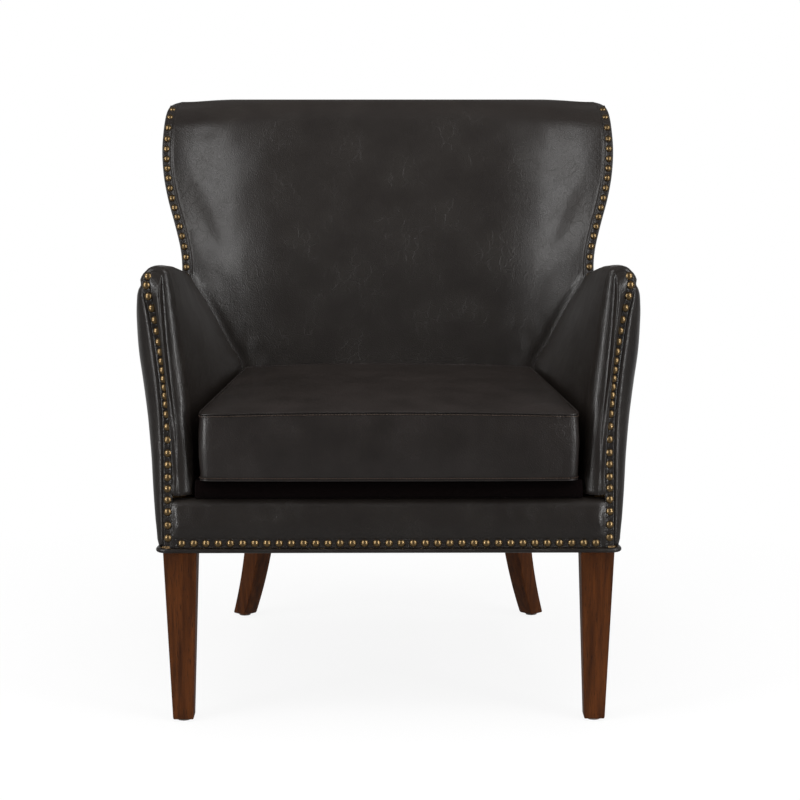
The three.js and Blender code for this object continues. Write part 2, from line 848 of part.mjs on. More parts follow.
function pin(x, y, radius, bottom, top) {
  const geometry = new THREE.CylinderGeometry(radius, radius, top - bottom, pinSides);
  geometry.rotateX(Math.PI / 2);
  return geometry.translate(x, y, (top + bottom) / 2);
}

function squareRing(x, y, width, z, turned) {
  const reach = turned ? width / Math.SQRT2 : width / 2;
  const corners = turned ? [[0, -1], [1, 0], [0, 1], [-1, 0]] : [[-1, -1], [1, -1], [1, 1], [-1, 1]];
  return corners.map(([across, back]) => vec(x + across * reach, y + back * reach, z));
}

const legBottom = glideHeight + seatGap;
const legTop = legBottom + legLength;
const frontLegTopY = borderFace + frontLegSetback + frontLegTopWidth / 2;
const frontLegFootY = borderFace + frontLegSetback + frontLegFootSetback + frontLegFootWidth / 2;
const rearLegTopY = rearBaseLine - rearLegTopInset;

function frontLeg() {
  return loft([
    squareRing(frontLegFootHalfSpan, frontLegFootY, frontLegFootWidth, legBottom, false),
    squareRing(frontLegTopHalfSpan, frontLegTopY, frontLegTopWidth, legTop, false),
  ]);
}

// Sabre leg: its section is turned by 45 degrees and it sweeps outward and back as it falls
function rearLegPlace(drop) {
  const sweep = rearLegSplay * drop * drop;
  return {
    x: rearLegTopHalfSpan + sweep,
    y: rearLegTopY + sweep,
    width: lerp(rearLegTopWidth, rearLegFootWidth, drop),
  };
}

function rearLeg() {
  return loft(legDropShares.map((drop) => {
    const { x, y, width } = rearLegPlace(drop);
    return squareRing(x, y, width, lerp(legTop, legBottom, drop), true);
  }));
}

const boltBottom = legTop - boltLegDepth;
const boltTop = railBottom + boltBlockDepth;
const frontBolt = [
  baseHalf(sideRailFront) - sideInset - railThickness - boltOffset,
  sideRailFront + boltOffset,
];
const rearBolt = [rearLegTopHalfSpan, sideRailRear - boltOffset];

function bolt([x, y]) {
  return pin(x, y, boltRadius, boltBottom, boltTop);
}

function boltHole([x, y]) {
  return pin(x, y, boltRadius + seatGap, boltBottom - seatGap, boltTop + seatGap);
}

function dustCover() {
  const inset = dustCoverInset;
  const front = borderFace + inset;
  const rear = rearBaseLine - inset;
  const outline = [
    [-baseHalf(front) + inset, front], [baseHalf(front) - inset, front],
    [baseHalf(rear) - inset, rear], [-baseHalf(rear) + inset, rear],
  ];
  const top = railBottom - seatGap;
  const bottom = top - dustCoverThickness;
  const hole = (x, y, width, turned) => loft([
    squareRing(x, y, width + dustCoverThickness, bottom - dustCoverThickness, turned),
    squareRing(x, y, width + dustCoverThickness, railBottom, turned),
  ]);
  const frontHole = hole(frontLegTopHalfSpan, frontLegTopY, frontLegTopWidth, false);
  const rearHole = hole(rearLegTopHalfSpan, rearLegTopY, rearLegTopWidth, true);
  return cut(planPrism(outline, bottom, top), frontHole, mirrored(frontHole), rearHole,
    mirrored(rearHole));
}

// Piped edge round the foot of the upholstery, open by a thread at the middle of the back
function baseWelt() {
  const inset = panelThickness + seatGap - weltRadius;
  const front = borderFace + inset;
  const rear = rearBaseLine - inset;
  const corners = [
    [seatGap, rear], [baseHalf(rear) - inset, rear], [baseHalf(front) - inset, front],
    [-baseHalf(front) + inset, front], [-baseHalf(rear) + inset, rear], [-seatGap, rear],
  ].map(([x, y]) => new THREE.Vector2(x, y));
  const frontTurn = armCornerRadius * armCornerShares[0];
  const turns = [0, railChamfer, frontTurn, frontTurn, railChamfer];
  const path = [corners[0]];
  for (let i = 1; i < corners.length - 1; i += 1) {
    const turn = turns[i];
    const before = corners[i - 1].clone().sub(corners[i]).normalize();
    const after = corners[i + 1].clone().sub(corners[i]).normalize();
    for (const share of turnShares) {
      const a = corners[i].clone().addScaledVector(before, turn * (1 - share));
      const b = corners[i].clone().addScaledVector(after, turn * share);
      path.push(a.lerp(b, share));
    }
  }
  path.push(corners[corners.length - 1]);
  const z = railBottom + weltRadius;
  return loft(path.map((place, i) => {
    const before = path[Math.max(i - 1, 0)];
    const after = path[Math.min(i + 1, path.length - 1)];
    const along = after.clone().sub(before).normalize();
    return Array.from({ length: weltSides }, (_, k) => {
      const angle = (k / weltSides) * Math.PI * 2;
      const across = weltRadius * Math.cos(angle);
      return vec(place.x - along.y * across, place.y + along.x * across,
        z + weltRadius * Math.sin(angle));
    });
  }));
}

// Half span of the line of nails down the arm fronts
function nailLine(z) {
  const line = armStations[0];
  let i = 0;
  while (i < outerSeamIndex && z > line[i + 1].z) i += 1;
  return lerp(line[i].x, line[i + 1].x, clamp((z - line[i].z) / (line[i + 1].z - line[i].z), 0, 1));
}

// Padded border across the front of the seat, between the two nail columns
function frontBorder() {
  const top = trimBottom + borderHeight;
  const curve = borderTopRadius * (1 - Math.SQRT1_2);
  const levels = [
    [trimBottom, 0], [lerp(trimBottom, top, 0.5), 0], [top - borderTopRadius, 0],
    [top - curve, curve], [top, borderTopRadius],
  ];
  const grid = (back) => levels.map(([z, inset]) => {
    const half = nailLine(z) - panelThickness;
    const y = back ? borderFace + borderThickness : frontFace(z) + inset;
    return acrossShares.map((share) => vec(share * half, y, z));
  });
  return slab(grid(false), grid(true));
}

// Suspension

// Wire bent to and fro on its way from the front rail to the back rail
function seatSpring(x) {
  const start = railFront + springEndInset;
  const end = backRailRear - springEndInset;
  const half = springWire / 2;
  const path = [];
  for (let wave = 0; wave < springWaves * 2; wave += 1) {
    const side = wave % 2 === 0 ? 1 : -1;
    for (const share of waveShares) {
      const y = lerp(start, end, (wave + share) / (springWaves * 2));
      path.push(new THREE.Vector2(x + side * springHalfWidth, y));
    }
  }
  path.unshift(new THREE.Vector2(x, start));
  path.push(new THREE.Vector2(x, end));
  const side = (sign) => path.map((place, i) => {
    const before = path[Math.max(i - 1, 0)];
    const after = path[Math.min(i + 1, path.length - 1)];
    const a = place.clone().sub(before).normalize();
    const b = after.clone().sub(place).normalize();
    const along = a.clone().add(b).normalize();
    const miter = clamp(along.dot(a.length() > 0 ? a : b), wireMiterLeastShare, 1);
    const reach = (sign * half) / miter;
    return new THREE.Vector2(place.x - along.y * reach, place.y + along.x * reach);
  });
  const arch = (y) => springArch * Math.sin((Math.PI * (y - start)) / (end - start));
  const height = (y) => railTop + seatGap + arch(clamp(y, start, end));
  return loft([0, springWire].map((rise) => [...side(1), ...side(-1).reverse()]
    .map((point) => vec(point.x, point.y, height(point.y) + rise))));
}

// Outline at a height between the arms and in front of the back
function deckOutline(z, clearance, front) {
  const half = (y) => armSide(y, z, 'inner') - clearance;
  const side = insideBack(z, half(insideBackFoot)) - clearance;
  return [
    [-half(front), front], [half(front), front], [half(side), side],
    [-half(side), side],
  ];
}

const deckFront = borderFace + deckFrontInset;
const rollRear = railFront + springEndInset - springWire / 2 - seatGap;

// Padded deck with a roll along its front that comes down to the seat border
function seatDeck() {
  const half = armSide(rollRear, deckBottom, 'inner') - deckSideClearance;
  const roll = [[-half, deckFront], [half, deckFront], [half, rollRear], [-half, rollRear]];
  return join(planPrism(deckOutline(deckBottom, deckSideClearance, deckFront), deckBottom, deckTop),
    planPrism(roll, trimBottom + borderHeight + seatGap, deckTop));
}

function tieWire() {
  const y = lerp(borderFace, insideBackFoot, 0.5);
  const reach = ((springCount - 1) * springPitch) / 2 + springHalfWidth;
  const half = tieWireThickness / 2;
  return planPrism([
    [-reach, y - half], [reach, y - half], [reach, y + half], [-reach, y + half],
  ], tieWireBottom, tieWireBottom + tieWireThickness);
}

function backWebbing(x) {
  const bottom = lowerRailBottom + lowerRailHeight / 2;
  const top = wingFrameTop;
  const front = (z) => {
    const share = (z - bottom) / (top - bottom);
    const thickness = lerp(lowerRailThickness, crestRailThickness, share);
    return rearCorner(z).y - backPostRearInset - thickness - seatGap;
  };
  const half = webbingWidth / 2;
  return loft([bottom, top].map((z) => [
    vec(x + half, front(z), z), vec(x + half, front(z) - webbingThickness, z),
    vec(x - half, front(z) - webbingThickness, z), vec(x - half, front(z), z),
  ]));
}

// Seat cushion

const cushionTop = cushionBottom + cushionThickness;

// Box cushion drawn in from its outer size by a wall
function cushionForm(wall) {
  const bottom = cushionBottom + wall;
  const top = cushionTop - wall;
  const front = frontLine + cushionFrontBulge + wall;
  const halfAt = (y) => {
    const way = clamp((y - frontLine) / (insideBackFoot - frontLine), 0, 1);
    const clearance = lerp(cushionFrontClearance, cushionRearClearance, way);
    return armSide(Math.max(y, armFront), cushionBottom, 'inner') - clearance - wall;
  };
  const rear = (x) => insideBack(cushionBottom, x) - cushionBackClearance - wall;
  const rearSide = rear(halfAt(insideBackFoot));
  const outline = (inset) => {
    const radius = cushionCornerRadius;
    const low = front + inset;
    const high = (x) => rear(x) - inset;
    const half = (y) => halfAt(y) - inset;
    const points = [];
    const arc = (x, y, startAngle) => {
      for (const share of turnShares) {
        const angle = startAngle + (share * Math.PI) / 2;
        points.push([x + radius * Math.cos(angle), y + radius * Math.sin(angle)]);
      }
    };
    const nearX = half(low) - radius;
    const farY = high(half(rearSide)) - radius;
    const farX = half(farY) - radius;
    for (const share of cushionSideShares) points.push([lerp(-nearX, nearX, share), low]);
    arc(nearX, low + radius, -Math.PI / 2);
    for (const share of cushionSideShares) {
      const y = lerp(low + radius, farY, share);
      points.push([half(y) - cushionSideDraw * Math.sin(Math.PI * share), y]);
    }
    arc(farX, farY, 0);
    for (const share of cushionSideShares) {
      const x = lerp(farX, -farX, share);
      points.push([x, high(x)]);
    }
    arc(-farX, farY, Math.PI / 2);
    for (const share of cushionSideShares) {
      const y = lerp(farY, low + radius, share);
      points.push([-half(y) + cushionSideDraw * Math.sin(Math.PI * share), y]);
    }
    arc(-nearX, low + radius, Math.PI);
    return points;
  };
  const edge = cushionEdgeRadius;
  const roundIn = edge * (1 - Math.SQRT1_2);
  const middle = (front + rearSide) / 2;
  const ring = (inset, z, scale) => outline(inset)
    .map(([x, y]) => vec(x * scale, middle + (y - middle) * scale, z));
  const crown = (share) => top - cushionCrown * (share ** 2);
  return loft([
    ring(edge, bottom, underShare), ring(edge, bottom, 1), ring(roundIn, bottom + roundIn, 1),
    ring(0, bottom + edge, 1), ring(-cushionFrontBulge, (bottom + top - cushionCrown) / 2, 1),
    ring(0, crown(1) - edge, 1), ring(roundIn, crown(1) - roundIn, 1), ring(edge, crown(1), 1),
    ...crownShares.map((share) => ring(edge, crown(share), share)),
  ]);
}

function zipBox(clearance) {
  const half = zipLength / 2 - clearance;
  const rise = zipWidth / 2 - clearance;
  const z = (cushionBottom + cushionTop - cushionCrown) / 2;
  const rear = insideBack(cushionBottom, 0) + cushionThickness;
  const front = insideBack(cushionBottom, half) - cushionBackClearance - cushionThickness;
  return planPrism([[-half, front], [half, front], [half, rear], [-half, rear]],
    z - rise, z + rise);
}

function cushionZip() {
  const body = toSolid(cushionForm(0)).intersect(toSolid(zipBox(seatGap)));
  return toGeometry(body.subtract(toSolid(cushionForm(coverWall))));
}

// Nail-head trim

// Low dome on a face, with its foot sunk into the band
function nailHead(place, normal) {
  const across = new THREE.Vector3().crossVectors(normal, vec(0, 0, 1)).normalize();
  const up = new THREE.Vector3().crossVectors(across, normal).normalize();
  const ring = (radius, rise) => Array.from({ length: nailSides }, (_, k) => {
    const angle = (k / nailSides) * Math.PI * 2;
    return place.clone().addScaledVector(normal, rise)
      .addScaledVector(across, radius * Math.cos(angle))
      .addScaledVector(up, radius * Math.sin(angle));
  });
  return loft([
    ring(nailRadius, -bandThickness / 2),
    ...nailShares.map(([width, rise]) => ring(nailRadius * width, nailRise * rise)),
  ]);
}

// Leather band over a grid of points, with nail heads along the grid's second column
function nailBand(grid, outward, pitch) {
  const under = offsetGrid(grid, seatGap, outward);
  const over = offsetGrid(grid, seatGap + bandThickness, outward);
  const path = new THREE.CurvePath();
  for (let i = 1; i < over.length; i += 1) {
    path.add(new THREE.LineCurve3(over[i - 1][1], over[i][1]));
  }
  const length = path.getLength();
  const count = Math.floor((length - nailEndInset) / pitch) + 1;
  const margin = (length - (count - 1) * pitch) / 2;
  const nails = Array.from({ length: count }, (_, i) => {
    const share = (margin + i * pitch) / length;
    const along = path.getTangentAt(share);
    const across = grid[0][2].clone().sub(grid[0][0]);
    const normal = new THREE.Vector3().crossVectors(along, across).normalize();
    if (normal.dot(outward) < 0) normal.negate();
    return nailHead(path.getPointAt(share), normal);
  });
  return join(slab(over, under), ...nails);
}

// Band down the front of an arm: flat on the front face, then round the edge of the panel
function armBandGrid() {
  const half = bandWidth / 2;
  return armStations[0].slice(0, outerSeamIndex + 3).map((point, i) => {
    const round = armStations[1][i].clone().sub(point);
    const outer = point.clone().add(round.setLength(Math.min(half, round.length())));
    return [vec(point.x - half, point.y, point.z), point.clone(), outer];
  });
}

// Band along the front edge of a wing, from the arm up to the corner of the back
function wingBandGrid() {
  const start = wingPanelFoot + bandWidth;
  const end = overallHeight - nailRadius;
  const levels = envelopeLevels.filter((z) => z > start && z < end);
  return [start, ...levels, end].map((z) => {
    const { front } = backHalf(z);
    const [inner, outer] = front.slice(-2).map((point) => vec(point.x, point.y, z));
    return [inner, inner.clone().lerp(outer, 0.5), outer];
  });
}

function frontBandGrid() {
  const place = (share, rise) => {
    const z = trimBottom + rise;
    const half = nailLine(trimBottom) - bandWidth / 2 - seatGap;
    return vec(share * half, frontFace(z), z);
  };
  return acrossShares.map((share) => [
    place(share, 0), place(share, frontBandHeight / 2), place(share, frontBandHeight),
  ]);
}

// Frame
add('front_rail', crossSeatRail(railFront, railFront + railThickness), timber());
add('back_rail', crossSeatRail(backRailRear, backRailRear - railThickness), timber());

const sides = [['right', (geometry) => geometry], ['left', mirrored]];
const armRailForm = armRail();
const frontBlock = cut(cornerBlock(railFront + railThickness, 1), boltHole(frontBolt));
const rearBlock = cut(cornerBlock(backRailRear - railThickness, -1), boltHole(rearBolt));
const frontLegForm = cut(frontLeg(), boltHole(frontBolt));
const rearLegForm = cut(rearLeg(), boltHole(rearBolt));
const armPanelCutter = panelCutter(outerArmGrid(), outwardSide);
const wingPanelCutter = panelCutter(wingPanelGrid(), outwardSide);
const backPanelCutter = panelCutter(backPanelGrid(), outwardBack);
const belowPads = planPrism([
  [0, -overallDepth], [wingSpan, -overallDepth], [wingSpan, overallDepth], [0, overallDepth],
], 0, padBottom);
const armRailCutter = armRailForm(frameClearance);
const wingFrameCutter = wingFrame(frameClearance);
const armPad = cut(armEnvelope(), armCavity(), armPanelCutter, armRailCutter, behindBack(),
  belowPads);
const backPad = cut(backEnvelope(), backCavity(), backPanelCutter, armPanelCutter,
  mirrored(armPanelCutter), wingPanelCutter, mirrored(wingPanelCutter), armRailCutter,
  mirrored(armRailCutter), wingFrameCutter, mirrored(wingFrameCutter));

for (const [side, place] of sides) {
  add(`${side}_side_rail`, place(sideSeatRail()), timber());
  add(`${side}_front_corner_block`, place(frontBlock), timber());
  add(`${side}_rear_corner_block`, place(rearBlock), timber());
  add(`${side}_arm_post`, place(armPost()), timber());
  add(`${side}_arm_rail`, place(armRailForm(0)), timber());
  add(`${side}_back_post`, place(backPost()), timber());
  add(`${side}_wing_frame`, place(wingFrame(0)), timber());
  add(`${side}_arm_pad`, place(armPad), leather());
  add(`${side}_outer_arm_panel`, place(panel(outerArmGrid(), outwardSide)), leather());
  add(`${side}_outer_wing_panel`, place(panel(wingPanelGrid(), outwardSide)), leather());
  add(`${side}_arm_nail_band`, place(nailBand(armBandGrid(), outwardFront, nailPitch)), brass());
  add(`${side}_wing_nail_band`, place(nailBand(wingBandGrid(), outwardFront, nailPitch)), brass());
  add(`${side}_front_leg`, place(frontLegForm), walnut());
  add(`${side}_rear_leg`, place(rearLegForm), walnut());
  add(`${side}_front_bolt`, place(bolt(frontBolt)), steel());
  add(`${side}_rear_bolt`, place(bolt(rearBolt)), steel());
  const foot = rearLegPlace(1);
  const glide = (x, y) => pin(x, y, glideRadius, 0, glideHeight);
  const nylon = () => finish(nylonColour, 0.5, 0);
  add(`${side}_front_glide`, place(glide(frontLegFootHalfSpan, frontLegFootY)), nylon());
  add(`${side}_rear_glide`, place(glide(foot.x, foot.y)), nylon());
}

add('back_crest_rail', crossRail(crestRailBottom, crestRailHeight, crestRailThickness), timber());
add('back_lower_rail', crossRail(lowerRailBottom, lowerRailHeight, lowerRailThickness), timber());

// Suspension and lining
for (let i = 0; i < springCount; i += 1) {
  add(`seat_spring_${i + 1}`, seatSpring((i - (springCount - 1) / 2) * springPitch), steel());
}
add('spring_tie_wire', tieWire(), steel());
for (let i = 0; i < webbingCount; i += 1) {
  const x = (i - (webbingCount - 1) / 2) * webbingPitch;
  add(`back_webbing_${i + 1}`, backWebbing(x), finish(webbingColour, 0.9, 0));
}
const insulatorOutline = deckOutline(insulatorBottom, deckSideClearance, rollRear + seatGap);
const insulatorTop = insulatorBottom + insulatorThickness;
add('seat_insulator', planPrism(insulatorOutline, insulatorBottom, insulatorTop),
  finish(webbingColour, 0.95, 0));
add('seat_deck', seatDeck(), finish(clothColour, 0.9, 0));
add('dust_cover', dustCover(), finish(clothColour, 0.95, 0));

// Upholstery
add('inside_back_pad', backPad, leather());
add('outer_back_panel', panel(backPanelGrid(), outwardBack), leather());
add('front_border', frontBorder(), leather());
add('base_welt', baseWelt(), leather());
add('front_nail_band', nailBand(frontBandGrid(), outwardFront, frontNailPitch), brass());

// Loose seat cushion
add('seat_cushion_cover', cut(cushionForm(0), cushionForm(coverWall), zipBox(0)), leather());
add('seat_cushion_foam', cushionForm(coverWall + seatGap), finish(foamColour, 0.95, 0));
add('cushion_zip', cushionZip(), finish(clothColour, 0.6, 0.3));

export default chair;
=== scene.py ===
"""Looks of a wingback armchair in dark leather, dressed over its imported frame.

Lengths are in millimetres and become metres where a mesh is made. +X is to the right seen
from in front, +Y goes back and +Z up, with the origin on the floor under the chair.
"""

import json
import logging
import math
from dataclasses import dataclass, field
from enum import Enum
from typing import Callable, Sequence

import bmesh
import bpy
import numpy as np
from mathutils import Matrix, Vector, noise

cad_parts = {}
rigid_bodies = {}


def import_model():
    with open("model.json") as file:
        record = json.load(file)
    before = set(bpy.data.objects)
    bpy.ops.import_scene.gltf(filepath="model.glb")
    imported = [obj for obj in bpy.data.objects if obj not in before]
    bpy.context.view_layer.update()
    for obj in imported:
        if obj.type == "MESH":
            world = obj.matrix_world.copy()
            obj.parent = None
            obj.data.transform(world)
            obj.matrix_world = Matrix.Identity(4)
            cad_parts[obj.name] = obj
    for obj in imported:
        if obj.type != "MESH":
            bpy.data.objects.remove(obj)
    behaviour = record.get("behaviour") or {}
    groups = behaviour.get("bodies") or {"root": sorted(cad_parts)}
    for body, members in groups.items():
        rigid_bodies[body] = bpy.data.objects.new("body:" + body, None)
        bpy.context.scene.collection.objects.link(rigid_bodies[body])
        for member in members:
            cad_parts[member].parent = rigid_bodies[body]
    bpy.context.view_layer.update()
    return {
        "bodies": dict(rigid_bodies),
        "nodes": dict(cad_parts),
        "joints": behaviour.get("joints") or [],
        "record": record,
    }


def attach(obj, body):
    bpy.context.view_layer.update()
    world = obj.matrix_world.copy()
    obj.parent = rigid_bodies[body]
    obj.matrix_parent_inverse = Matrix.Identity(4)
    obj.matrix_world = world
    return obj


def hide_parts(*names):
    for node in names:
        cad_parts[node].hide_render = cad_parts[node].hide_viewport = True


LOG = logging.getLogger("armchair")
Array = np.ndarray
Rows = Sequence[Sequence[float]]
Colour = tuple[int, int, int]
Place = tuple[float, float, float]

MM = 0.001
WELD = 0.02
CHAIR = "chair"
CUSHION = "cushion"
QUARTER = math.pi / 2
AHEAD = (0.0, -1.0, 0.0)
WHITE = (1.0, 1.0, 1.0, 1.0)


class Side(Enum):
    """A side of the chair, with the sign of its x."""

    LEFT = -1
    RIGHT = 1

    def of(self, name: str) -> str:
        """Name of this side's piece or node."""
        return f"{self.name.lower()}_{name}"


# Shapes and meshes


class Curve:
    """Smooth line through the rows of a table."""

    def __init__(self, rows: Rows, indexed: bool = False) -> None:
        """Keeps the rows and their slopes.

        Args:
            rows: place and values of each row, or only values.
            indexed: the rows hold only values, and their place is their number.
        """
        table = np.asarray(rows, float)
        self.at = np.arange(len(table), dtype=float) if indexed else table[:, 0]
        self.value = table if indexed else table[:, 1:]
        last = len(table) - 1
        before = np.maximum(np.arange(last + 1) - 1, 0)
        after = np.minimum(np.arange(last + 1) + 1, last)
        run = (self.at[after] - self.at[before])[:, None]
        self.slope = (self.value[after] - self.value[before]) / run

    def __call__(self, place: Array | float) -> Array:
        """Values at places.

        Args:
            place: where to read the line, of any shape.

        Returns:
            One value for each place, or a last axis of values if the table has several.
        """
        spot = np.clip(np.asarray(place, float), self.at[0], self.at[-1])
        row = np.clip(np.searchsorted(self.at, spot, side="right") - 1, 0, len(self.at) - 2)
        span = (self.at[row + 1] - self.at[row])[..., None]
        t = (spot[..., None] - self.at[row][..., None]) / span
        t2, t3 = t * t, t * t * t
        found = (
            (2 * t3 - 3 * t2 + 1) * self.value[row]
            + (t3 - 2 * t2 + t) * span * self.slope[row]
            + (3 * t2 - 2 * t3) * self.value[row + 1]
            + (t3 - t2) * span * self.slope[row + 1]
        )
        return found[..., 0] if found.shape[-1] == 1 else found


def mix(a: Array | float, b: Array | float, share: Array | float) -> Array:
    """Value between a and b at a share of the way."""
    return np.asarray(a) + (np.asarray(b) - np.asarray(a)) * np.asarray(share)


def smoothstep(low: float, high: float, place: Array | float) -> Array:
    """Smooth rise from 0 at low to 1 at high."""
    t = np.clip((np.asarray(place, float) - low) / (high - low), 0, 1)
    return t * t * (3 - 2 * t)


def bump(place: Array | float, centre: float, width: float) -> Array:
    """Bell of height 1 round a centre."""
    return np.exp(-(((np.asarray(place) - centre) / width) ** 2))


def unit(vectors: Array) -> Array:
    """Vectors of length 1."""
    return vectors / np.maximum(np.linalg.norm(vectors, axis=-1, keepdims=True), 1e-9)


def ripple(points: Array, size: Sequence[float], seed: float, octaves: int = 2) -> Array:
    """Seeded noise over points.

    Args:
        points: places, with a last axis of three.
        size: size of the ripples along x, y and z.
        seed: shift of the noise, another one for each piece.
        octaves: number of finer layers.

    Returns:
        A value of about -1 to 1 for each point.
    """
    flat = points.reshape(-1, 3) / np.asarray(size, float) + seed
    found = [noise.fractal(Vector(p), 1.0, 2.0, octaves) for p in flat]
    return np.clip(np.array(found), -1.2, 1.2).reshape(points.shape[:-1])


def normals(grid: Array, outward: Sequence[float]) -> Array:
    """Unit normals of a grid of points.

    Args:
        grid: rows by columns by three.
        outward: a direction that the normals look along on the whole.

    Returns:
        A normal for each point of the grid.
    """
    across = np.gradient(grid, axis=1)
    along = np.gradient(grid, axis=0)
    found = unit(np.cross(across, along))
    if float((found * np.asarray(outward, float)).sum()) < 0:
        found = -found
    return found


@dataclass(frozen=True)
class Patch:
    """Points and faces of one stretch of surface."""

    points: Array
    faces: list[list[int]]


def grid_patch(grid: Array, wrap: bool = False) -> Patch:
    """Quads over a grid of points.

    Args:
        grid: rows by columns by three.
        wrap: the last column joins the first.

    Returns:
        The patch.
    """
    rows, columns = grid.shape[:2]
    index = np.arange(rows * columns).reshape(rows, columns)
    if wrap:
        index = np.hstack([index, index[:, :1]])
    corners = [index[:-1, :-1], index[:-1, 1:], index[1:, 1:], index[1:, :-1]]
    return Patch(grid.reshape(-1, 3), np.stack(corners, -1).reshape(-1, 4).tolist())


def rungs(ring: Array, steps: int = 1) -> Array:
    """Grid between the two halves of a ring that runs up one side and down the other.

    Args:
        ring: an even number of points.
        steps: number of quads from one half to the other.

    Returns:
        Half as many rows as the ring has points, by steps + 1 columns.
    """
    half = len(ring) // 2
    share = np.linspace(0, 1, steps + 1)[None, :, None]
    return mix(ring[:half, None], ring[::-1][:half, None], share)


def loft(rings: Array) -> list[Patch]:
    """Closed surface through rings, with a ladder of rungs over each end."""
    return [grid_patch(rings, wrap=True), grid_patch(rungs(rings[0])), grid_patch(rungs(rings[-1]))]


def skin(outer: Array, inner: Array) -> list[Patch]:
    """Closed plate between two grids of equal size."""
    edges = [
        np.stack([outer[0], inner[0]]),
        np.stack([outer[-1], inner[-1]]),
        np.stack([outer[:, 0], inner[:, 0]]),
        np.stack([outer[:, -1], inner[:, -1]]),
    ]
    return [grid_patch(outer), grid_patch(inner), *map(grid_patch, edges)]


def tube(path: Array, radius: float, sides: int = 10, closed: bool = False) -> list[Patch]:
    """Round rod along a path that stays about level or upright."""
    run = np.roll(path, -1, 0) - np.roll(path, 1, 0) if closed else np.gradient(path, axis=0)
    along = unit(run)
    up = np.where(np.abs(along[:, 2:]) > 0.9, [[1.0, 0, 0]], [[0, 0, 1.0]])
    across = unit(np.cross(along, up))
    lift = np.cross(across, along)
    angle = np.linspace(0, 2 * math.pi, sides, endpoint=False)[None, :, None]
    rings = path[:, None] + radius * (np.cos(angle) * across[:, None] + np.sin(angle) * lift[:, None])
    if closed:
        return [grid_patch(np.concatenate([rings, rings[:1]]), wrap=True)]
    return loft(rings)


def mirrored(patches: list[Patch], side: Side) -> list[Patch]:
    """Patches of the right side, moved to the side that is asked for."""
    flip = np.array([side.value, 1, 1])
    return [Patch(patch.points * flip, patch.faces) for patch in patches]


def edge_distance(rows: Array, columns: Array) -> Array:
    """Distance from the nearest border of a grid.

    Args:
        rows: length along the grid at each row.
        columns: length across the grid at each column.

    Returns:
        Rows by columns of distances.
    """
    down = np.minimum(rows - rows[0], rows[-1] - rows)
    over = np.minimum(columns - columns[0], columns[-1] - columns)
    return np.minimum(down[:, None], over[None, :])


def lengths(line: Array) -> Array:
    """Length along a line of points, at each point."""
    steps = np.linalg.norm(np.diff(line, axis=0), axis=-1)
    return np.concatenate([[0], np.cumsum(steps)])


def lattice(x: Array | float, y: Array | float, z: Array | float) -> Array:
    """Points from coordinates that are brought to one shape."""
    return np.stack(np.broadcast_arrays(x, y, z), -1)


def joined(patches: Sequence[Patch]) -> Patch:
    """Several patches as one."""
    start = 0
    faces: list[list[int]] = []
    for patch in patches:
        faces += [[index + start for index in face] for face in patch.faces]
        start += len(patch.points)
    return Patch(np.concatenate([patch.points for patch in patches]), faces)


def placed(name: str, data: bpy.types.ID) -> bpy.types.Object:
    """New object in the scene."""
    made = bpy.data.objects.new(name, data)
    bpy.context.scene.collection.objects.link(made)
    return made


def points_of(made: bpy.types.Object) -> Array:
    """A piece's points, in millimetres."""
    found = np.zeros(len(made.data.vertices) * 3)
    made.data.vertices.foreach_get("co", found)
    return found.reshape(-1, 3) / MM


def set_points(made: bpy.types.Object, points: Array) -> None:
    """Moves a piece's points, given in millimetres."""
    made.data.vertices.foreach_set("co", (points * MM).ravel())
    made.data.update()


def soften(made: bpy.types.Object, angle: float = 32.0) -> None:
    """Keeps the sharp edges of a piece sharp under smooth shading."""
    limit = math.radians(angle)
    work = bmesh.new()
    work.from_mesh(made.data)
    for edge in work.edges:
        edge.smooth = len(edge.link_faces) == 2 and edge.calc_face_angle(0) < limit
    work.to_mesh(made.data)
    work.free()


# Finishes


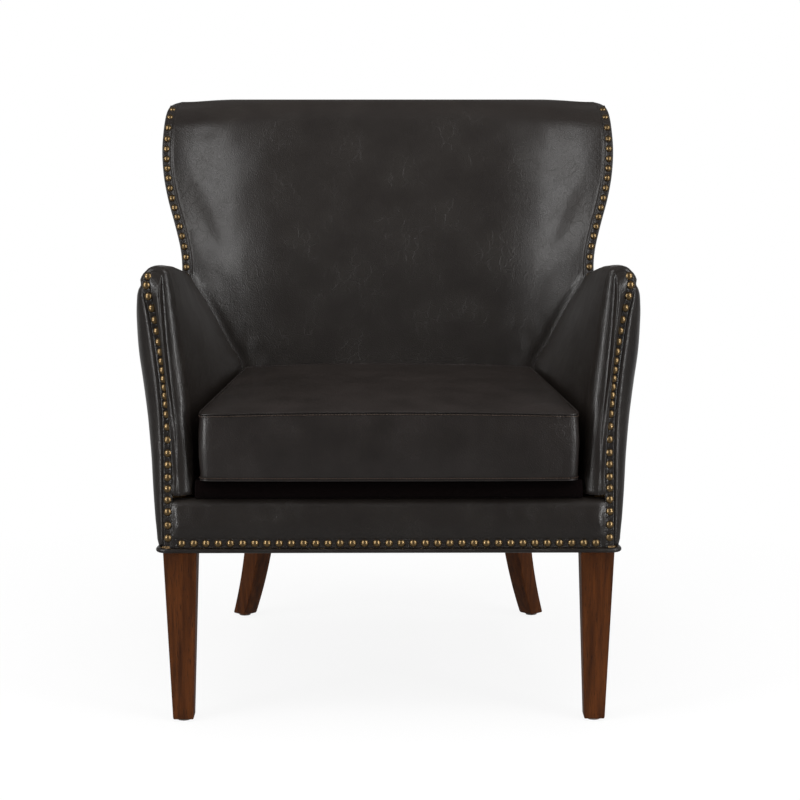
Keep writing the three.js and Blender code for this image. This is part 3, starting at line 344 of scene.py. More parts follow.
class Nodes:
    """Short way to lay out a shader's nodes."""

    def __init__(self, tree: bpy.types.NodeTree) -> None:
        """Keeps the tree that the nodes go into."""
        self.tree = tree

    @classmethod
    def of(cls, owner: bpy.types.Material | bpy.types.World) -> "Nodes":
        """The emptied tree of a material or world."""
        owner.use_nodes = True
        owner.node_tree.nodes.clear()
        return cls(owner.node_tree)

    def add(self, kind: str, *values: object, **settings: object) -> bpy.types.Node:
        """Adds a node.

        Args:
            kind: the node's type, without its ShaderNode prefix.
            values: what its first sockets get, in their order.
            settings: its properties, and its sockets by name with _ for a space.

        Returns:
            The node.
        """
        node = self.tree.nodes.new(f"ShaderNode{kind}")
        for name, value in settings.items():
            if hasattr(node, name):
                setattr(node, name, value)
            else:
                self.feed(node.inputs[name.replace("_", " ")], value)
        for socket, value in zip(node.inputs, values):
            self.feed(socket, value)
        return node

    def feed(self, socket: bpy.types.NodeSocket, value: object) -> None:
        """Sets a socket to a value, or links an output to it."""
        if isinstance(value, bpy.types.NodeSocket):
            self.tree.links.new(value, socket)
        else:
            socket.default_value = value

    def maths(self, operation: str, *values: object) -> bpy.types.NodeSocket:
        """Result of a Math node."""
        return self.add("Math", *values, operation=operation).outputs[0]

    def vectors(self, operation: str, *values: object, **settings: object) -> bpy.types.NodeSocket:
        """Result of a Vector Math node."""
        return self.add("VectorMath", *values, operation=operation, **settings).outputs[0]

    def blend(self, share: object, a: object, b: object) -> bpy.types.NodeSocket:
        """Colour between two colours."""
        node = self.add("Mix", data_type="RGBA")
        for index, value in ((0, share), (6, a), (7, b)):
            self.feed(node.inputs[index], value)
        return node.outputs[2]

    def ramp(self, value: object, low: float, high: float) -> bpy.types.NodeSocket:
        """Value brought from low..high to 0..1 and clamped."""
        return self.add("MapRange", value, low, high, 0.0, 1.0, clamp=True).outputs[0]

    def where(self) -> bpy.types.NodeSocket:
        """Object coordinates."""
        return self.add("TexCoord").outputs["Object"]

    def rate(self, size: object) -> bpy.types.NodeSocket:
        """Texture scale for a size in millimetres."""
        return self.maths("DIVIDE", 1 / MM, size)

    def noise(self, where: object, scale: object, detail: float, **more: float) -> bpy.types.NodeSocket:
        """Value of a Noise texture."""
        found = self.add("TexNoise", Vector=where, Scale=scale, Detail=detail, **more)
        return found.outputs["Fac"]

    def cells(self, where: object, scale: object) -> bpy.types.NodeSocket:
        """Distance from the edges of a Voronoi texture's cells."""
        found = self.add("TexVoronoi", feature="DISTANCE_TO_EDGE", Vector=where, Scale=scale)
        return found.outputs["Distance"]

    def relief(self, strength: float, height: object) -> bpy.types.NodeSocket:
        """Normal of a bump that is a millimetre high at full strength."""
        return self.add("Bump", Strength=strength, Distance=MM, Height=height).outputs[0]

    def seen(self, path: bpy.types.Node) -> bpy.types.NodeSocket:
        """1 for rays from the camera, straight or through something clear."""
        return self.maths("MAXIMUM", path.outputs["Is Camera Ray"], path.outputs["Is Transmission Ray"])


class EffectGroup:
    """A shader effect that several materials share."""

    name = "effect"
    inputs: dict[str, tuple[float, float, float]] = {}
    outputs: tuple[str, ...] = ()

    @classmethod
    def tree(cls) -> bpy.types.NodeTree:
        """The group's node tree, built when it is first asked for."""
        found = bpy.data.node_groups.get(cls.name)
        if found:
            return found
        tree = bpy.data.node_groups.new(cls.name, "ShaderNodeTree")
        for label, (value, low, high) in cls.inputs.items():
            socket = tree.interface.new_socket(label, in_out="INPUT", socket_type="NodeSocketFloat")
            socket.default_value, socket.min_value, socket.max_value = value, low, high
        for label in cls.outputs:
            tree.interface.new_socket(label, in_out="OUTPUT", socket_type="NodeSocketFloat")
        nodes = Nodes(tree)
        given = tree.nodes.new("NodeGroupInput")
        result = tree.nodes.new("NodeGroupOutput")
        for label, value in cls.lay_out(nodes, given).items():
            nodes.feed(result.inputs[label], value)
        return tree

    @classmethod
    def lay_out(cls, nodes: Nodes, given: bpy.types.Node) -> dict[str, object]:
        """Builds the group's nodes.

        Args:
            nodes: where the nodes go.
            given: the group's input node.

        Returns:
            The socket or value for each output.
        """
        raise NotImplementedError

    @classmethod
    def use(cls, nodes: Nodes, **values: float) -> bpy.types.Node:
        """Places the group in a material, with its inputs by name and _ for a space."""
        return nodes.add("Group", node_tree=cls.tree(), **values)


class LeatherGrain(EffectGroup):
    """Pebbled grain, fine creases and slow mottling of finished leather."""

    name = "leather_grain"
    inputs = {
        "Grain Size": (1.6, 0.2, 20.0),
        "Crease Size": (26.0, 1.0, 200.0),
        "Crease Depth": (0.5, 0.0, 2.0),
    }
    outputs = ("Height", "Mottle", "Crease")

    @classmethod
    def lay_out(cls, nodes: Nodes, given: bpy.types.Node) -> dict[str, object]:
        """Builds the grain from cells and noise, the creases from warped cells."""
        where = nodes.where()
        grain = nodes.rate(given.outputs["Grain Size"])
        wide = nodes.rate(given.outputs["Crease Size"])
        pebble = nodes.ramp(nodes.cells(where, grain), 0.0, 0.35)
        fine = nodes.noise(where, grain, 3.0, Roughness=0.6)
        warp = nodes.add("TexNoise", Vector=where, Scale=wide, Detail=2.0).outputs["Color"]
        moved = nodes.vectors("ADD", where, nodes.vectors("SCALE", warp, Scale=0.02))
        crease = nodes.ramp(nodes.cells(moved, wide), 0.05, 0.0)
        slow = nodes.noise(where, 14.0, 4.0, Roughness=0.6)
        lines = nodes.maths("MULTIPLY", crease, nodes.ramp(slow, 0.45, 0.62))
        carved = nodes.maths("MULTIPLY", lines, given.outputs["Crease Depth"])
        rough = nodes.maths("ADD", nodes.maths("MULTIPLY", pebble, 0.5), fine)
        return {"Height": nodes.maths("SUBTRACT", rough, carved), "Mottle": slow, "Crease": lines}


class WoodGrain(EffectGroup):
    """Long figure and pores of timber whose grain runs along z."""

    name = "wood_grain"
    inputs = {"Ring Size": (9.0, 0.5, 100.0), "Stretch": (0.06, 0.005, 1.0)}
    outputs = ("Figure", "Pores", "Height")

    @classmethod
    def lay_out(cls, nodes: Nodes, given: bpy.types.Node) -> dict[str, object]:
        """Builds the figure and the pores from two stretched noises."""
        shape = nodes.add("CombineXYZ", X=1.0, Y=1.0, Z=given.outputs["Stretch"])
        long = nodes.vectors("MULTIPLY", nodes.where(), shape.outputs[0])
        rate = nodes.rate(given.outputs["Ring Size"])
        figure = nodes.ramp(nodes.noise(long, rate, 6.0, Roughness=0.62), 0.3, 0.7)
        dark = nodes.ramp(nodes.noise(long, nodes.maths("MULTIPLY", rate, 9.0), 2.0), 0.6, 0.72)
        height = nodes.maths("SUBTRACT", nodes.maths("MULTIPLY", figure, 0.3), dark)
        return {"Figure": figure, "Pores": dark, "Height": height}


class ClothWeave(EffectGroup):
    """Crossing threads of a plain woven or pressed cloth."""

    name = "cloth_weave"
    inputs = {"Thread": (1.2, 0.1, 20.0)}
    outputs = ("Height", "Fuzz")

    @classmethod
    def lay_out(cls, nodes: Nodes, given: bpy.types.Node) -> dict[str, object]:
        """Builds the threads from three waves and the fuzz from noise."""
        where = nodes.where()
        wave = {"Vector": where, "Scale": nodes.rate(given.outputs["Thread"]), "Distortion": 1.0}
        x, y, z = (nodes.add("TexWave", bands_direction=axis, **wave).outputs["Fac"] for axis in "XYZ")
        height = nodes.maths("MAXIMUM", nodes.maths("MAXIMUM", x, y), z)
        return {"Height": height, "Fuzz": nodes.noise(where, 900.0, 4.0)}


def linear(colour: Colour) -> tuple[float, float, float, float]:
    """Scene colour of an 8-bit screen colour."""
    shares = [value / 255 for value in colour]
    scene = [s / 12.92 if s <= 0.04045 else ((s + 0.055) / 1.055) ** 2.4 for s in shares]
    return (scene[0], scene[1], scene[2], 1.0)


def halved(colour: Colour) -> Colour:
    """Screen colour of half the value."""
    return (colour[0] // 2, colour[1] // 2, colour[2] // 2)


class Finish:
    """Base of the finishes: makes its material once and knows its slot in the record."""

    name: str
    slot: str

    def material(self) -> bpy.types.Material:
        """The finish's material, built when it is first asked for."""
        found = bpy.data.materials.get(self.name)
        if found:
            return found
        made = bpy.data.materials.new(self.name)
        nodes = Nodes.of(made)
        shader = nodes.add("BsdfPrincipled", **self.dress(nodes))
        nodes.add("OutputMaterial", Surface=shader.outputs[0])
        return made

    def paint(self, made: bpy.types.Object) -> None:
        """Gives an object this finish and no other."""
        made.data.materials.clear()
        made.data.materials.append(self.material())

    def dress(self, nodes: Nodes) -> dict[str, object]:
        """What feeds each socket of the shader."""
        raise NotImplementedError


@dataclass(frozen=True)
class LeatherFinish(Finish):
    """Glossy dark leather with grain, creases and browner worn places."""

    slot = "leather"
    name: str = "espresso_leather"
    deep: Colour = (27, 23, 21)
    light: Colour = (32, 28, 25)
    rough: float = 0.34
    uneven: float = 0.08
    grain_size: float = 3.0
    grain_depth: float = 0.3
    crease_size: float = 20.0
    crease_depth: float = 0.8
    sheen: float = 0.42
    gloss: float = 0.12
    gloss_rough: float = 0.16

    def dress(self, nodes: Nodes) -> dict[str, object]:
        """Colour, gloss and bump from the grain."""
        sizes = {"Grain_Size": self.grain_size, "Crease_Size": self.crease_size}
        grain = LeatherGrain.use(nodes, Crease_Depth=self.crease_depth, **sizes).outputs
        mottle = nodes.ramp(grain["Mottle"], 0.3, 0.75)
        duller = nodes.maths("MULTIPLY_ADD", mottle, self.uneven, self.rough - self.uneven / 2)
        return {
            "Base Color": nodes.blend(mottle, linear(self.deep), linear(self.light)),
            "Roughness": nodes.maths("MULTIPLY_ADD", grain["Crease"], self.uneven, duller),
            "Specular IOR Level": self.sheen,
            "Coat Weight": self.gloss,
            "Coat Roughness": self.gloss_rough,
            "Normal": nodes.relief(self.grain_depth, grain["Height"]),
        }


@dataclass(frozen=True)
class WoodFinish(Finish):
    """Timber with its figure and pores, bare or under lacquer."""

    slot = "walnut"
    name: str = "walnut_wood"
    dark: Colour = (48, 21, 3)
    light: Colour = (88, 45, 10)
    rough: float = 0.42
    sheen: float = 0.16
    lacquer: float = 0.04
    lacquer_rough: float = 0.22
    ring_size: float = 7.0
    stretch: float = 0.06
    depth: float = 0.12

    def dress(self, nodes: Nodes) -> dict[str, object]:
        """Colour, gloss and bump from the grain."""
        grain = WoodGrain.use(nodes, Ring_Size=self.ring_size, Stretch=self.stretch).outputs
        figure = nodes.blend(grain["Figure"], linear(self.dark), linear(self.light))
        return {
            "Base Color": nodes.blend(grain["Pores"], figure, linear(halved(self.dark))),
            "Roughness": nodes.maths("MULTIPLY_ADD", grain["Pores"], 0.2, self.rough),
            "Specular IOR Level": self.sheen,
            "Coat Weight": self.lacquer,
            "Coat Roughness": self.lacquer_rough,
            "Normal": nodes.relief(self.depth, grain["Height"]),
        }


@dataclass(frozen=True)
class MetalFinish(Finish):
    """Metal with tarnish in its hollows, or plain."""

    slot = "brass"
    name: str = "antique_brass"
    bright: Colour = (146, 122, 86)
    tarnish: Colour = (58, 46, 31)
    rough: float = 0.32
    spots: float = 900.0
    ageing: str = ""

    def dress(self, nodes: Nodes) -> dict[str, object]:
        """Colour and gloss from the spots and the ageing attribute."""
        dirty = nodes.ramp(nodes.noise(nodes.where(), self.spots, 3.0), 0.5, 0.75)
        if self.ageing:
            height = nodes.add("Attribute", attribute_name=self.ageing).outputs["Fac"]
            low = nodes.ramp(height, 0.4, 0.0)
            dirty = nodes.maths("MAXIMUM", nodes.maths("MULTIPLY", dirty, 0.7), low)
        return {
            "Base Color": nodes.blend(dirty, linear(self.bright), linear(self.tarnish)),
            "Roughness": nodes.maths("MULTIPLY_ADD", dirty, 0.3, self.rough),
            "Metallic": 1.0,
        }


@dataclass(frozen=True)
class ClothFinish(Finish):
    """Plain dull cloth, felt, webbing or foam."""

    slot = "lining"
    name: str = "black_lining"
    colour: Colour = (24, 21, 20)
    pale: Colour = (40, 36, 34)
    thread: float = 1.2
    depth: float = 0.4
    rough: float = 0.9
    sheen: float = 0.1

    def dress(self, nodes: Nodes) -> dict[str, object]:
        """Colour and bump from the weave."""
        weave = ClothWeave.use(nodes, Thread=self.thread).outputs
        return {
            "Base Color": nodes.blend(weave["Fuzz"], linear(self.colour), linear(self.pale)),
            "Roughness": self.rough,
            "Specular IOR Level": self.sheen,
            "Normal": nodes.relief(self.depth, weave["Height"]),
        }


@dataclass(frozen=True)
class PlasticFinish(Finish):
    """Moulded plastic with a faint texture."""

    name: str = "nylon"
    colour: Colour = (46, 41, 36)
    rough: float = 0.5
    spots: float = 1400.0
    depth: float = 0.1

    def dress(self, nodes: Nodes) -> dict[str, object]:
        """Colour, gloss and bump from a faint texture."""
        spots = nodes.noise(nodes.where(), self.spots, 2.0)
        return {
            "Base Color": nodes.blend(spots, linear(halved(self.colour)), linear(self.colour)),
            "Roughness": nodes.maths("MULTIPLY_ADD", spots, 0.15, self.rough),
            "Normal": nodes.relief(self.depth, spots),
        }


LEATHER = LeatherFinish()
TRIM_LEATHER = LeatherFinish(name="trim_leather", crease_size=7.0, crease_depth=0.9, rough=0.32)
SEAT_LEATHER = LeatherFinish(
    name="seat_leather", deep=(26, 22, 20), light=(36, 31, 29), rough=0.36, crease_size=16.0
)
THREAD = ClothFinish(name="brown_thread", colour=(66, 55, 48), pale=(92, 79, 70), thread=0.5)
WALNUT = WoodFinish()
TIMBER = WoodFinish(
    name="frame_timber", dark=(150, 116, 76), light=(205, 172, 126), rough=0.7, lacquer=0.0,
    ring_size=14.0,
)
BRASS = MetalFinish(ageing="dome")
STEEL = MetalFinish(name="spring_steel", bright=(150, 152, 156), tarnish=(96, 92, 88), rough=0.35)
LINING = ClothFinish()
# The deck cloth's near-black, red-tinged colour is painted shade: it stands in for the deep shadow in
# the gap under the cushion.
SHADE_DARK_DECK_CLOTH = ClothFinish(name="shade_dark_deck_cloth", colour=(5, 1, 1), pale=(9, 3, 3), rough=1.0)
WEBBING = ClothFinish(name="jute_webbing", colour=(104, 88, 58), pale=(150, 132, 96), thread=2.4)
FOAM = ClothFinish(
    name="seat_foam", colour=(208, 190, 132), pale=(230, 214, 160), thread=2.0, depth=0.2
)
NYLON = PlasticFinish()


@dataclass
class Workshop:
    """Makes the meshes into pieces and keeps count of them."""

    made: int = 0

    def piece(
        self,
        name: str,
        patches: list[Patch],
        finish: Finish,
        node: str = "",
        body: str = CHAIR,
    ) -> bpy.types.Object:
        """Makes one piece of the chair.

        Args:
            name: the piece's name.
            patches: its surface, in millimetres.
            finish: what it is made of.
            node: the frame's node that it stands for, or none.
            body: the body that it moves with.

        Returns:
            The piece.
        """
        whole = joined(patches)
        mesh = bpy.data.meshes.new(name)
        mesh.from_pydata(whole.points.tolist(), [], whole.faces)
        work = bmesh.new()
        work.from_mesh(mesh)
        bmesh.ops.remove_doubles(work, verts=work.verts, dist=WELD)
        bmesh.ops.dissolve_degenerate(work, edges=work.edges, dist=WELD / 2)
        bmesh.ops.recalc_face_normals(work, faces=work.faces)
        bmesh.ops.scale(work, vec=(MM, MM, MM), verts=work.verts)
        work.to_mesh(mesh)
        work.free()
        mesh.shade_smooth()
        made = placed(name, mesh)
        finish.paint(made)
        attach(made, body)
        if node:
            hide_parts(node)
        self.made += 1
        LOG.info("%s: %d faces, rides on %s", name, len(mesh.polygons), body)
        return made


# Forms of the arms and of the back


@dataclass(frozen=True)
class ArmForm:
    """Outer surface of the right arm, as a section that changes on its way back."""

    half: float = 364.0
    foot: float = 265.3
    front_rise: float = 408.7
    rear_rise: float = 348.7
    face: float = -365.0
    lean: float = 14.0
    corner: float = 34.0
    station: float = 165.0
    fall: float = 1.3
    last: float = 17.0
    front: Curve = field(default_factory=lambda: Curve(ArmForm.FRONT, indexed=True))
    rear: Curve = field(default_factory=lambda: Curve(ArmForm.REAR, indexed=True))
    rounding: Curve = field(default_factory=lambda: Curve(ArmForm.ROUNDING, indexed=True))

    @property
    def edge(self) -> float:
        """Depth of the front face at the crest."""
        return self.face + self.lean

    def face_at(self, z: Array | float) -> Array:
        """Depth of the front face at a height."""
        return self.face + self.lean * (np.asarray(z) - self.foot) / self.front_rise

    def section(self, t: Array, y: Array) -> tuple[Array, Array]:
        """Half span and height of the section.

        Args:
            t: place on the section, 0 at the outer foot and 17 at the inner foot.
            y: depth of each of these places.

        Returns:
            The half spans and the heights.
        """
        way = np.clip((y - self.edge) / (self.station - self.edge), 0, 1)
        rise = mix(self.front_rise, self.rear_rise, way**self.fall)
        ahead, behind = self.front(t), self.rear(t)
        x = self.half * mix(ahead[..., 0], behind[..., 0], way)
        z = self.foot + rise * mix(ahead[..., 1], behind[..., 1], way)
        return x, z

    def place(self, t: Array, turn: Array | float, way: float) -> Array:
        """Points of the surface.

        Args:
            t: place on the section.
            turn: angle round the front edge, 0 on the face and a quarter turn at the side.
            way: share of the way back to the wing, once round the edge.

        Returns:
            A point for each place.
        """
        radius = self.corner * self.rounding(t)
        start = self.edge + radius * (1 - np.cos(turn))
        y = mix(start, self.station, way)
        x, z = self.section(t, y)
        before, after = self.section(t - 0.05, y), self.section(t + 0.05, y)
        inward = unit(np.stack([before[1] - after[1], after[0] - before[0]], -1))
        inset = radius * (1 - np.sin(turn))
        lean = (self.face_at(z) - self.edge) * (1 - way)
        return np.stack([x + inward[..., 0] * inset, y + lean, z + inward[..., 1] * inset], -1)

    def inner_span(self, y: Array, z: Array) -> Array:
        """Half span of the arm's inner side at depths and heights."""
        t = np.linspace(10, self.last, 50)
        found = [
            np.interp(height, spans[1][::-1], spans[0][::-1])
            for height, spans in zip(
                z.ravel(), (self.section(t, np.full_like(t, depth)) for depth in y.ravel())
            )
        ]
        return np.array(found).reshape(z.shape)


ArmForm.FRONT = (
    (0.931, 0), (0.945, 0.206), (0.953, 0.333), (0.964, 0.461), (0.981, 0.587), (0.997, 0.711),
    (1, 0.82), (0.9945, 0.913), (0.975, 0.966), (0.94, 0.997), (0.901, 1), (0.868, 0.983),
    (0.849, 0.917), (0.827, 0.772), (0.802, 0.578), (0.786, 0.408), (0.783, 0.21), (0.783, 0),
)  # fmt: skip
ArmForm.REAR = (
    (0.766, 0), (0.816, 0.225), (0.849, 0.365), (0.882, 0.5), (0.912, 0.635), (0.94, 0.774),
    (0.953, 0.88), (0.956, 0.937), (0.951, 0.971), (0.934, 0.994), (0.918, 1), (0.898, 0.989),
    (0.874, 0.943), (0.824, 0.868), (0.731, 0.688), (0.665, 0.553), (0.648, 0.24), (0.645, 0),
)  # fmt: skip
ArmForm.ROUNDING = tuple(
    (share,)
    for share in (
        0.53, 0.7, 0.82, 0.92, 1, 1, 0.82, 0.5, 0.28, 0.22, 0.24, 0.3, 0.45, 0.58, 0.62, 0.58,
        0.53, 0.53,
    )
)  # fmt: skip


@dataclass(frozen=True)
class BackForm:
    """Inside back, wings and outside back of the chair."""

    top: float = 902.0
    foot: float = 339.2
    roll: float = 36.0
    inside_foot: float = 146.0
    inside_head: float = 320.0
    projection: float = 84.0
    half: float = 377.5
    strip: float = 15.8
    corner_foot: float = 262.0
    corner_head: float = 300.0
    base: float = 258.0
    rear_foot: float = 302.0
    rear_head: float = 380.0
    power: float = 4.0
    inside: Curve = field(default_factory=lambda: Curve(BackForm.INSIDE))
    reach: Curve = field(default_factory=lambda: Curve(BackForm.REACH))
    span: Curve = field(default_factory=lambda: Curve(BackForm.SPAN))

    @property
    def roll_foot(self) -> float:
        """Height at which the top roll starts."""
        return self.top - self.roll

    def rise(self, z: Array) -> Array:
        """Share of the way from the foot to the top."""
        return np.clip((np.asarray(z) - self.foot) / (self.top - self.foot), 0, 1)

    def centre(self, z: Array) -> Array:
        """Depth of the inside back at the middle."""
        return mix(self.inside_foot, self.inside_head, self.inside(self.rise(z)))

    def wing(self, z: Array) -> Array:
        """Depth of the wing's front edge."""
        return self.centre(z) - self.projection * self.reach(self.rise(z))

    def edge(self, z: Array) -> Array:
        """Half span of the wing's front edge."""
        return self.half * self.span(self.rise(z))

    def depth(self, z: Array, x: Array) -> Array:
        """Depth of the inside back at heights and half spans."""
        share = np.clip(np.abs(x) / (self.edge(z) - self.strip), 0, 1)
        return self.centre(z) - (self.centre(z) - self.wing(z)) * share**self.power

    def corner(self, z: Array) -> tuple[Array, Array]:
        """Half span and depth of the rear corner."""
        span = np.clip((z - self.base) / (self.top - self.base), 0, 1)
        lean = np.clip((z - self.base) / (self.roll_foot - self.base), 0, 1)
        return (
            mix(self.corner_foot, self.corner_head, span),
            mix(self.rear_foot, self.rear_head, lean),
        )


BackForm.INSIDE = (
    (0, 0), (0.216, 0.167), (0.383, 0.345), (0.523, 0.494), (0.709, 0.695), (0.855, 0.85), (1, 1),
)  # fmt: skip
BackForm.REACH = (
    (0, 0.2), (0.216, 0.42), (0.383, 0.66), (0.523, 0.8), (0.709, 0.917), (0.855, 1), (0.92, 0.93),
    (0.943, 0.83), (0.975, 0.55), (0.99, 0.33), (1, 0.17),
)  # fmt: skip
BackForm.SPAN = (
    (0, 0.79), (0.11, 0.83), (0.2, 0.865), (0.29, 0.89), (0.38, 0.905), (0.46, 0.9086),
    (0.523, 0.9086), (0.569, 0.9166), (0.64, 0.943), (0.709, 0.972), (0.778, 0.992), (0.855, 1),
    (0.9415, 0.993), (0.97, 0.987), (0.9876, 0.975), (0.9947, 0.959), (1, 0.932),
)  # fmt: skip


@dataclass
class ArmUpholstery:
    """Padded inside, crest and front of an arm, and the panel on its outside."""

    form: ArmForm
    back: BackForm
    low: float = 0.9
    spacing: float = 5.0
    puff: float = 8.0
    channel: float = 7.2
    channel_depth: float = 1.6
    ridge_reach: float = 12.5
    ridge_width: float = 5.0
    ridge_rise: float = 1.2
    ridge_fade: tuple[float, float] = (425.0, 480.0)
    ridge_end: tuple[float, float] = (640.0, 590.0)
    seam_depth: float = 3.0
    seam_width: float = 9.0
    behind: float = 64.0
    under_panel: float = 3.5
    panel_top: float = 7.3
    tuck: float = 1.6
    clear: float = 6.0
    eased: int = 10
    panel_thickness: float = 3.0
    wing_foot: float = 602.0
    fold_rise: float = 8.0
    fold_height: float = 348.0
    fold_edge: tuple[float, float] = (346.0, 339.0)
    dent_height: float = 452.0
    crease_height: float = 385.0
    dents_span: float = 302.0
    face_steps: int = 26
    fill: float = 0.8

    def sides(self) -> Array:
        """Places on the section from the outer foot to the inner foot, evenly spaced."""
        fine = np.linspace(self.low, self.form.last / 2, 400)
        x, z = self.form.section(fine, np.full_like(fine, self.form.edge))
        along = lengths(np.stack([x, z], -1))
        count = int(along[-1] / self.spacing)
        outer = np.interp(np.linspace(0, along[-1], count), along, fine)
        return np.concatenate([outer[:-1], self.form.last - outer[:-1][::-1]])

    def ridge(self, reach: Array, z: Array) -> Array:
        """Height of the padding beside the nails.

        Args:
            reach: distance from the line of nails.
            z: height of each place.

        Returns:
            Channel and ridge as a height over the plain surface.
        """
        strength = mix(0.25, 1, smoothstep(*self.ridge_fade, z)) * smoothstep(*self.ridge_end, z)
        channel = self.channel_depth * (1 - smoothstep(self.channel - 1.5, self.channel + 1.5, reach))
        ridge = bump(reach, self.ridge_reach, self.ridge_width) * smoothstep(6, 9, reach)
        return self.ridge_rise * strength * ridge - channel

    def ahead(self, grid: Array) -> Array:
        """How far the arm's points are in front of the inside back."""
        return np.maximum(self.back.depth(grid[..., 2], grid[..., 0]) - grid[..., 1], 0)

    def seam(self, grid: Array) -> Array:
        """How deep the leather is drawn in where the arm meets the back."""
        drawn = self.seam_depth * bump(self.ahead(grid), 0, self.seam_width)
        return drawn * smoothstep(0.9, 0.3, (grid[..., 0] - 250) / 110)

    def build(self, shop: Workshop, side: Side) -> None:
        """Makes the arm pad and the outer panel of one side."""
        t = self.sides()
        turns = np.linspace(0, QUARTER, 9)
        rings = [self.form.place(t, turn, 0) for turn in turns]
        rings += [self.form.place(t, QUARTER, way) for way in np.linspace(0, 1, 80)[1:]]
        rings += [rings[-1] + np.array([0, on, 0]) for on in np.linspace(0, self.behind, 15)[1:]]
        grid = np.stack(rings)
        out = self.lift(grid)
        hidden = smoothstep(self.panel_top + 0.5, self.panel_top, t)[None, :]
        crush = ripple(grid, (60, 90, 60), 3.1) * 1.1 + ripple(grid, (16, 40, 16), 8.4) * 0.25
        crush = crush * smoothstep(0, 45, self.ahead(grid))
        offset = crush * smoothstep(8, 11, t)[None, :] - self.under_panel * hidden - self.seam(grid)
        offset[0] = 0
        offset[1:4] *= np.array([0.3, 0.6, 0.9])[:, None]
        grid = self.kept_inside(grid + out * offset[..., None], t)
        face = self.front_face(grid[0])
        patches = [grid_patch(grid, wrap=True), grid_patch(face), grid_patch(rungs(grid[-1]))]
        pad, panel = mirrored(patches, side), mirrored(self.panel(), side)
        shop.piece(side.of("arm_upholstery"), pad, LEATHER, side.of("arm_pad"))
        shop.piece(side.of("outer_arm_leather"), panel, LEATHER, side.of("outer_arm_panel"))

    def kept_inside(self, grid: Array, t: Array) -> Array:
        """The arm's rings, drawn in where they run on behind the wing's front edge."""
        behind = grid[..., 1] > self.form.station
        span, height = self.form.section(t, np.full_like(t, self.form.station))
        outer = t < 9
        z = grid[..., 2]
        side = np.interp(z, height[outer], span[outer])
        side = np.where(z > self.wing_foot, self.back.edge(z), side)
        x, y = self.back.corner(z)
        share = np.clip((grid[..., 1] - self.form.station) / (y - self.form.station), 0, 1)
        limit = mix(side, x, share) - self.clear * smoothstep(0, 0.1, share)
        kept = grid.copy()
        kept[..., 0] = np.where(behind, np.minimum(grid[..., 0], limit), grid[..., 0])
        return kept

    def lift(self, grid: Array) -> Array:
        """Normals of the arm's rings, which look away from the middle of each ring."""
        found = unit(np.cross(np.gradient(grid, axis=1), np.gradient(grid, axis=0)))
        crest = grid.shape[1] // 2
        return found if found[20, crest, 2] > 0 else -found

    def front_face(self, ring: Array) -> Array:
        """Padded front of the arm between the nails and its inner edge.

        Args:
            ring: the arm's first ring.

        Returns:
            Rows up the arm by columns across it.
        """
        share = np.linspace(0, 1, self.face_steps + 1) ** 1.2
        half = len(ring) // 2
        start, end = ring[:half, None], ring[::-1][:half, None]
        face = mix(start, end, share[None, :, None])
        width = np.linalg.norm(end - start, axis=-1)
        reach = width * share
        x, z = face[..., 0], face[..., 2]
        beyond = np.clip((reach - self.channel) / np.maximum(width - self.channel, 1), 0, 1)
        swell = self.puff * np.sin(math.pi * beyond**0.85) * smoothstep(12, 75, width)
        lip = self.ridge(reach, z) + self.channel_depth
        fold = self.fold_rise * (bump(z, self.fold_height, 5) * 0.3 - smoothstep(*self.fold_edge, z))
        dent = 1.6 * np.sin((x - 300) / 2.6) * bump(z, self.dent_height, 17)
        dent = dent * bump(x, self.dents_span, 10)
        slant = z - self.crease_height + (x - 305) * 0.5
        crease = -1.4 * bump(slant, 0, 2.6) * bump(x, self.dents_span, 13)
        inner = smoothstep(1, 0.7, share)
        moved = swell + (lip + fold + dent + crease + ripple(face, (30, 30, 60), 5.2) * 0.6) * inner
        moved[:, 0] = 0
        face[..., 1] -= moved
        return face

    def panel(self) -> list[Patch]:
        """Leather over the outside of the arm, from the nails to the rear corner."""
        t = np.interp(np.linspace(0, 1, 70), [0, 1], [0.02, self.panel_top])
        radius = self.form.corner * self.form.rounding(t)
        first = (self.channel - 0.6) / radius
        columns = [
            self.form.place(t, mix(first, QUARTER, share), 0) for share in np.linspace(0, 1, 14)
        ]
        columns += [self.form.place(t, QUARTER, way) for way in np.linspace(0, 1, 64)[1:]]
        wing = columns[-1]
        foot = self.form.foot
        high = foot + (self.wing_foot - foot) * (wing[:, 2] - foot) / (wing[-1, 2] - foot)
        for share in np.linspace(0, 1, 22)[1:]:
            z = mix(wing[:, 2], high, share)
            x, y = self.back.corner(z)
            columns.append(lattice(mix(wing[:, 0], x, share), mix(wing[:, 1], y, share), z))
        grid = np.stack(columns, 1)
        for _ in range(self.eased):
            grid[:, 60:-1] = (grid[:, 59:-2] + 2 * grid[:, 60:-1] + grid[:, 61:]) / 4
        out = normals(grid, (1, 0, 0))
        across = lengths(grid[len(t) // 2])
        along = lengths(grid[:, 20])
        border = edge_distance(along, across)
        swell = 1.6 * smoothstep(0, 60, border) - 1.6 * bump(border, 0, 3.0)
        swell = swell - self.tuck * smoothstep(16, 0, along[-1] - along)[:, None]
        lip = self.ridge(across + self.channel, grid[..., 2])
        waves = ripple(grid, (120, 140, 90), 21.0) * 0.8 * smoothstep(0, 40, border)
        outer = grid + out * (swell + lip + waves)[..., None]
        return skin(outer, grid - out * self.panel_thickness)


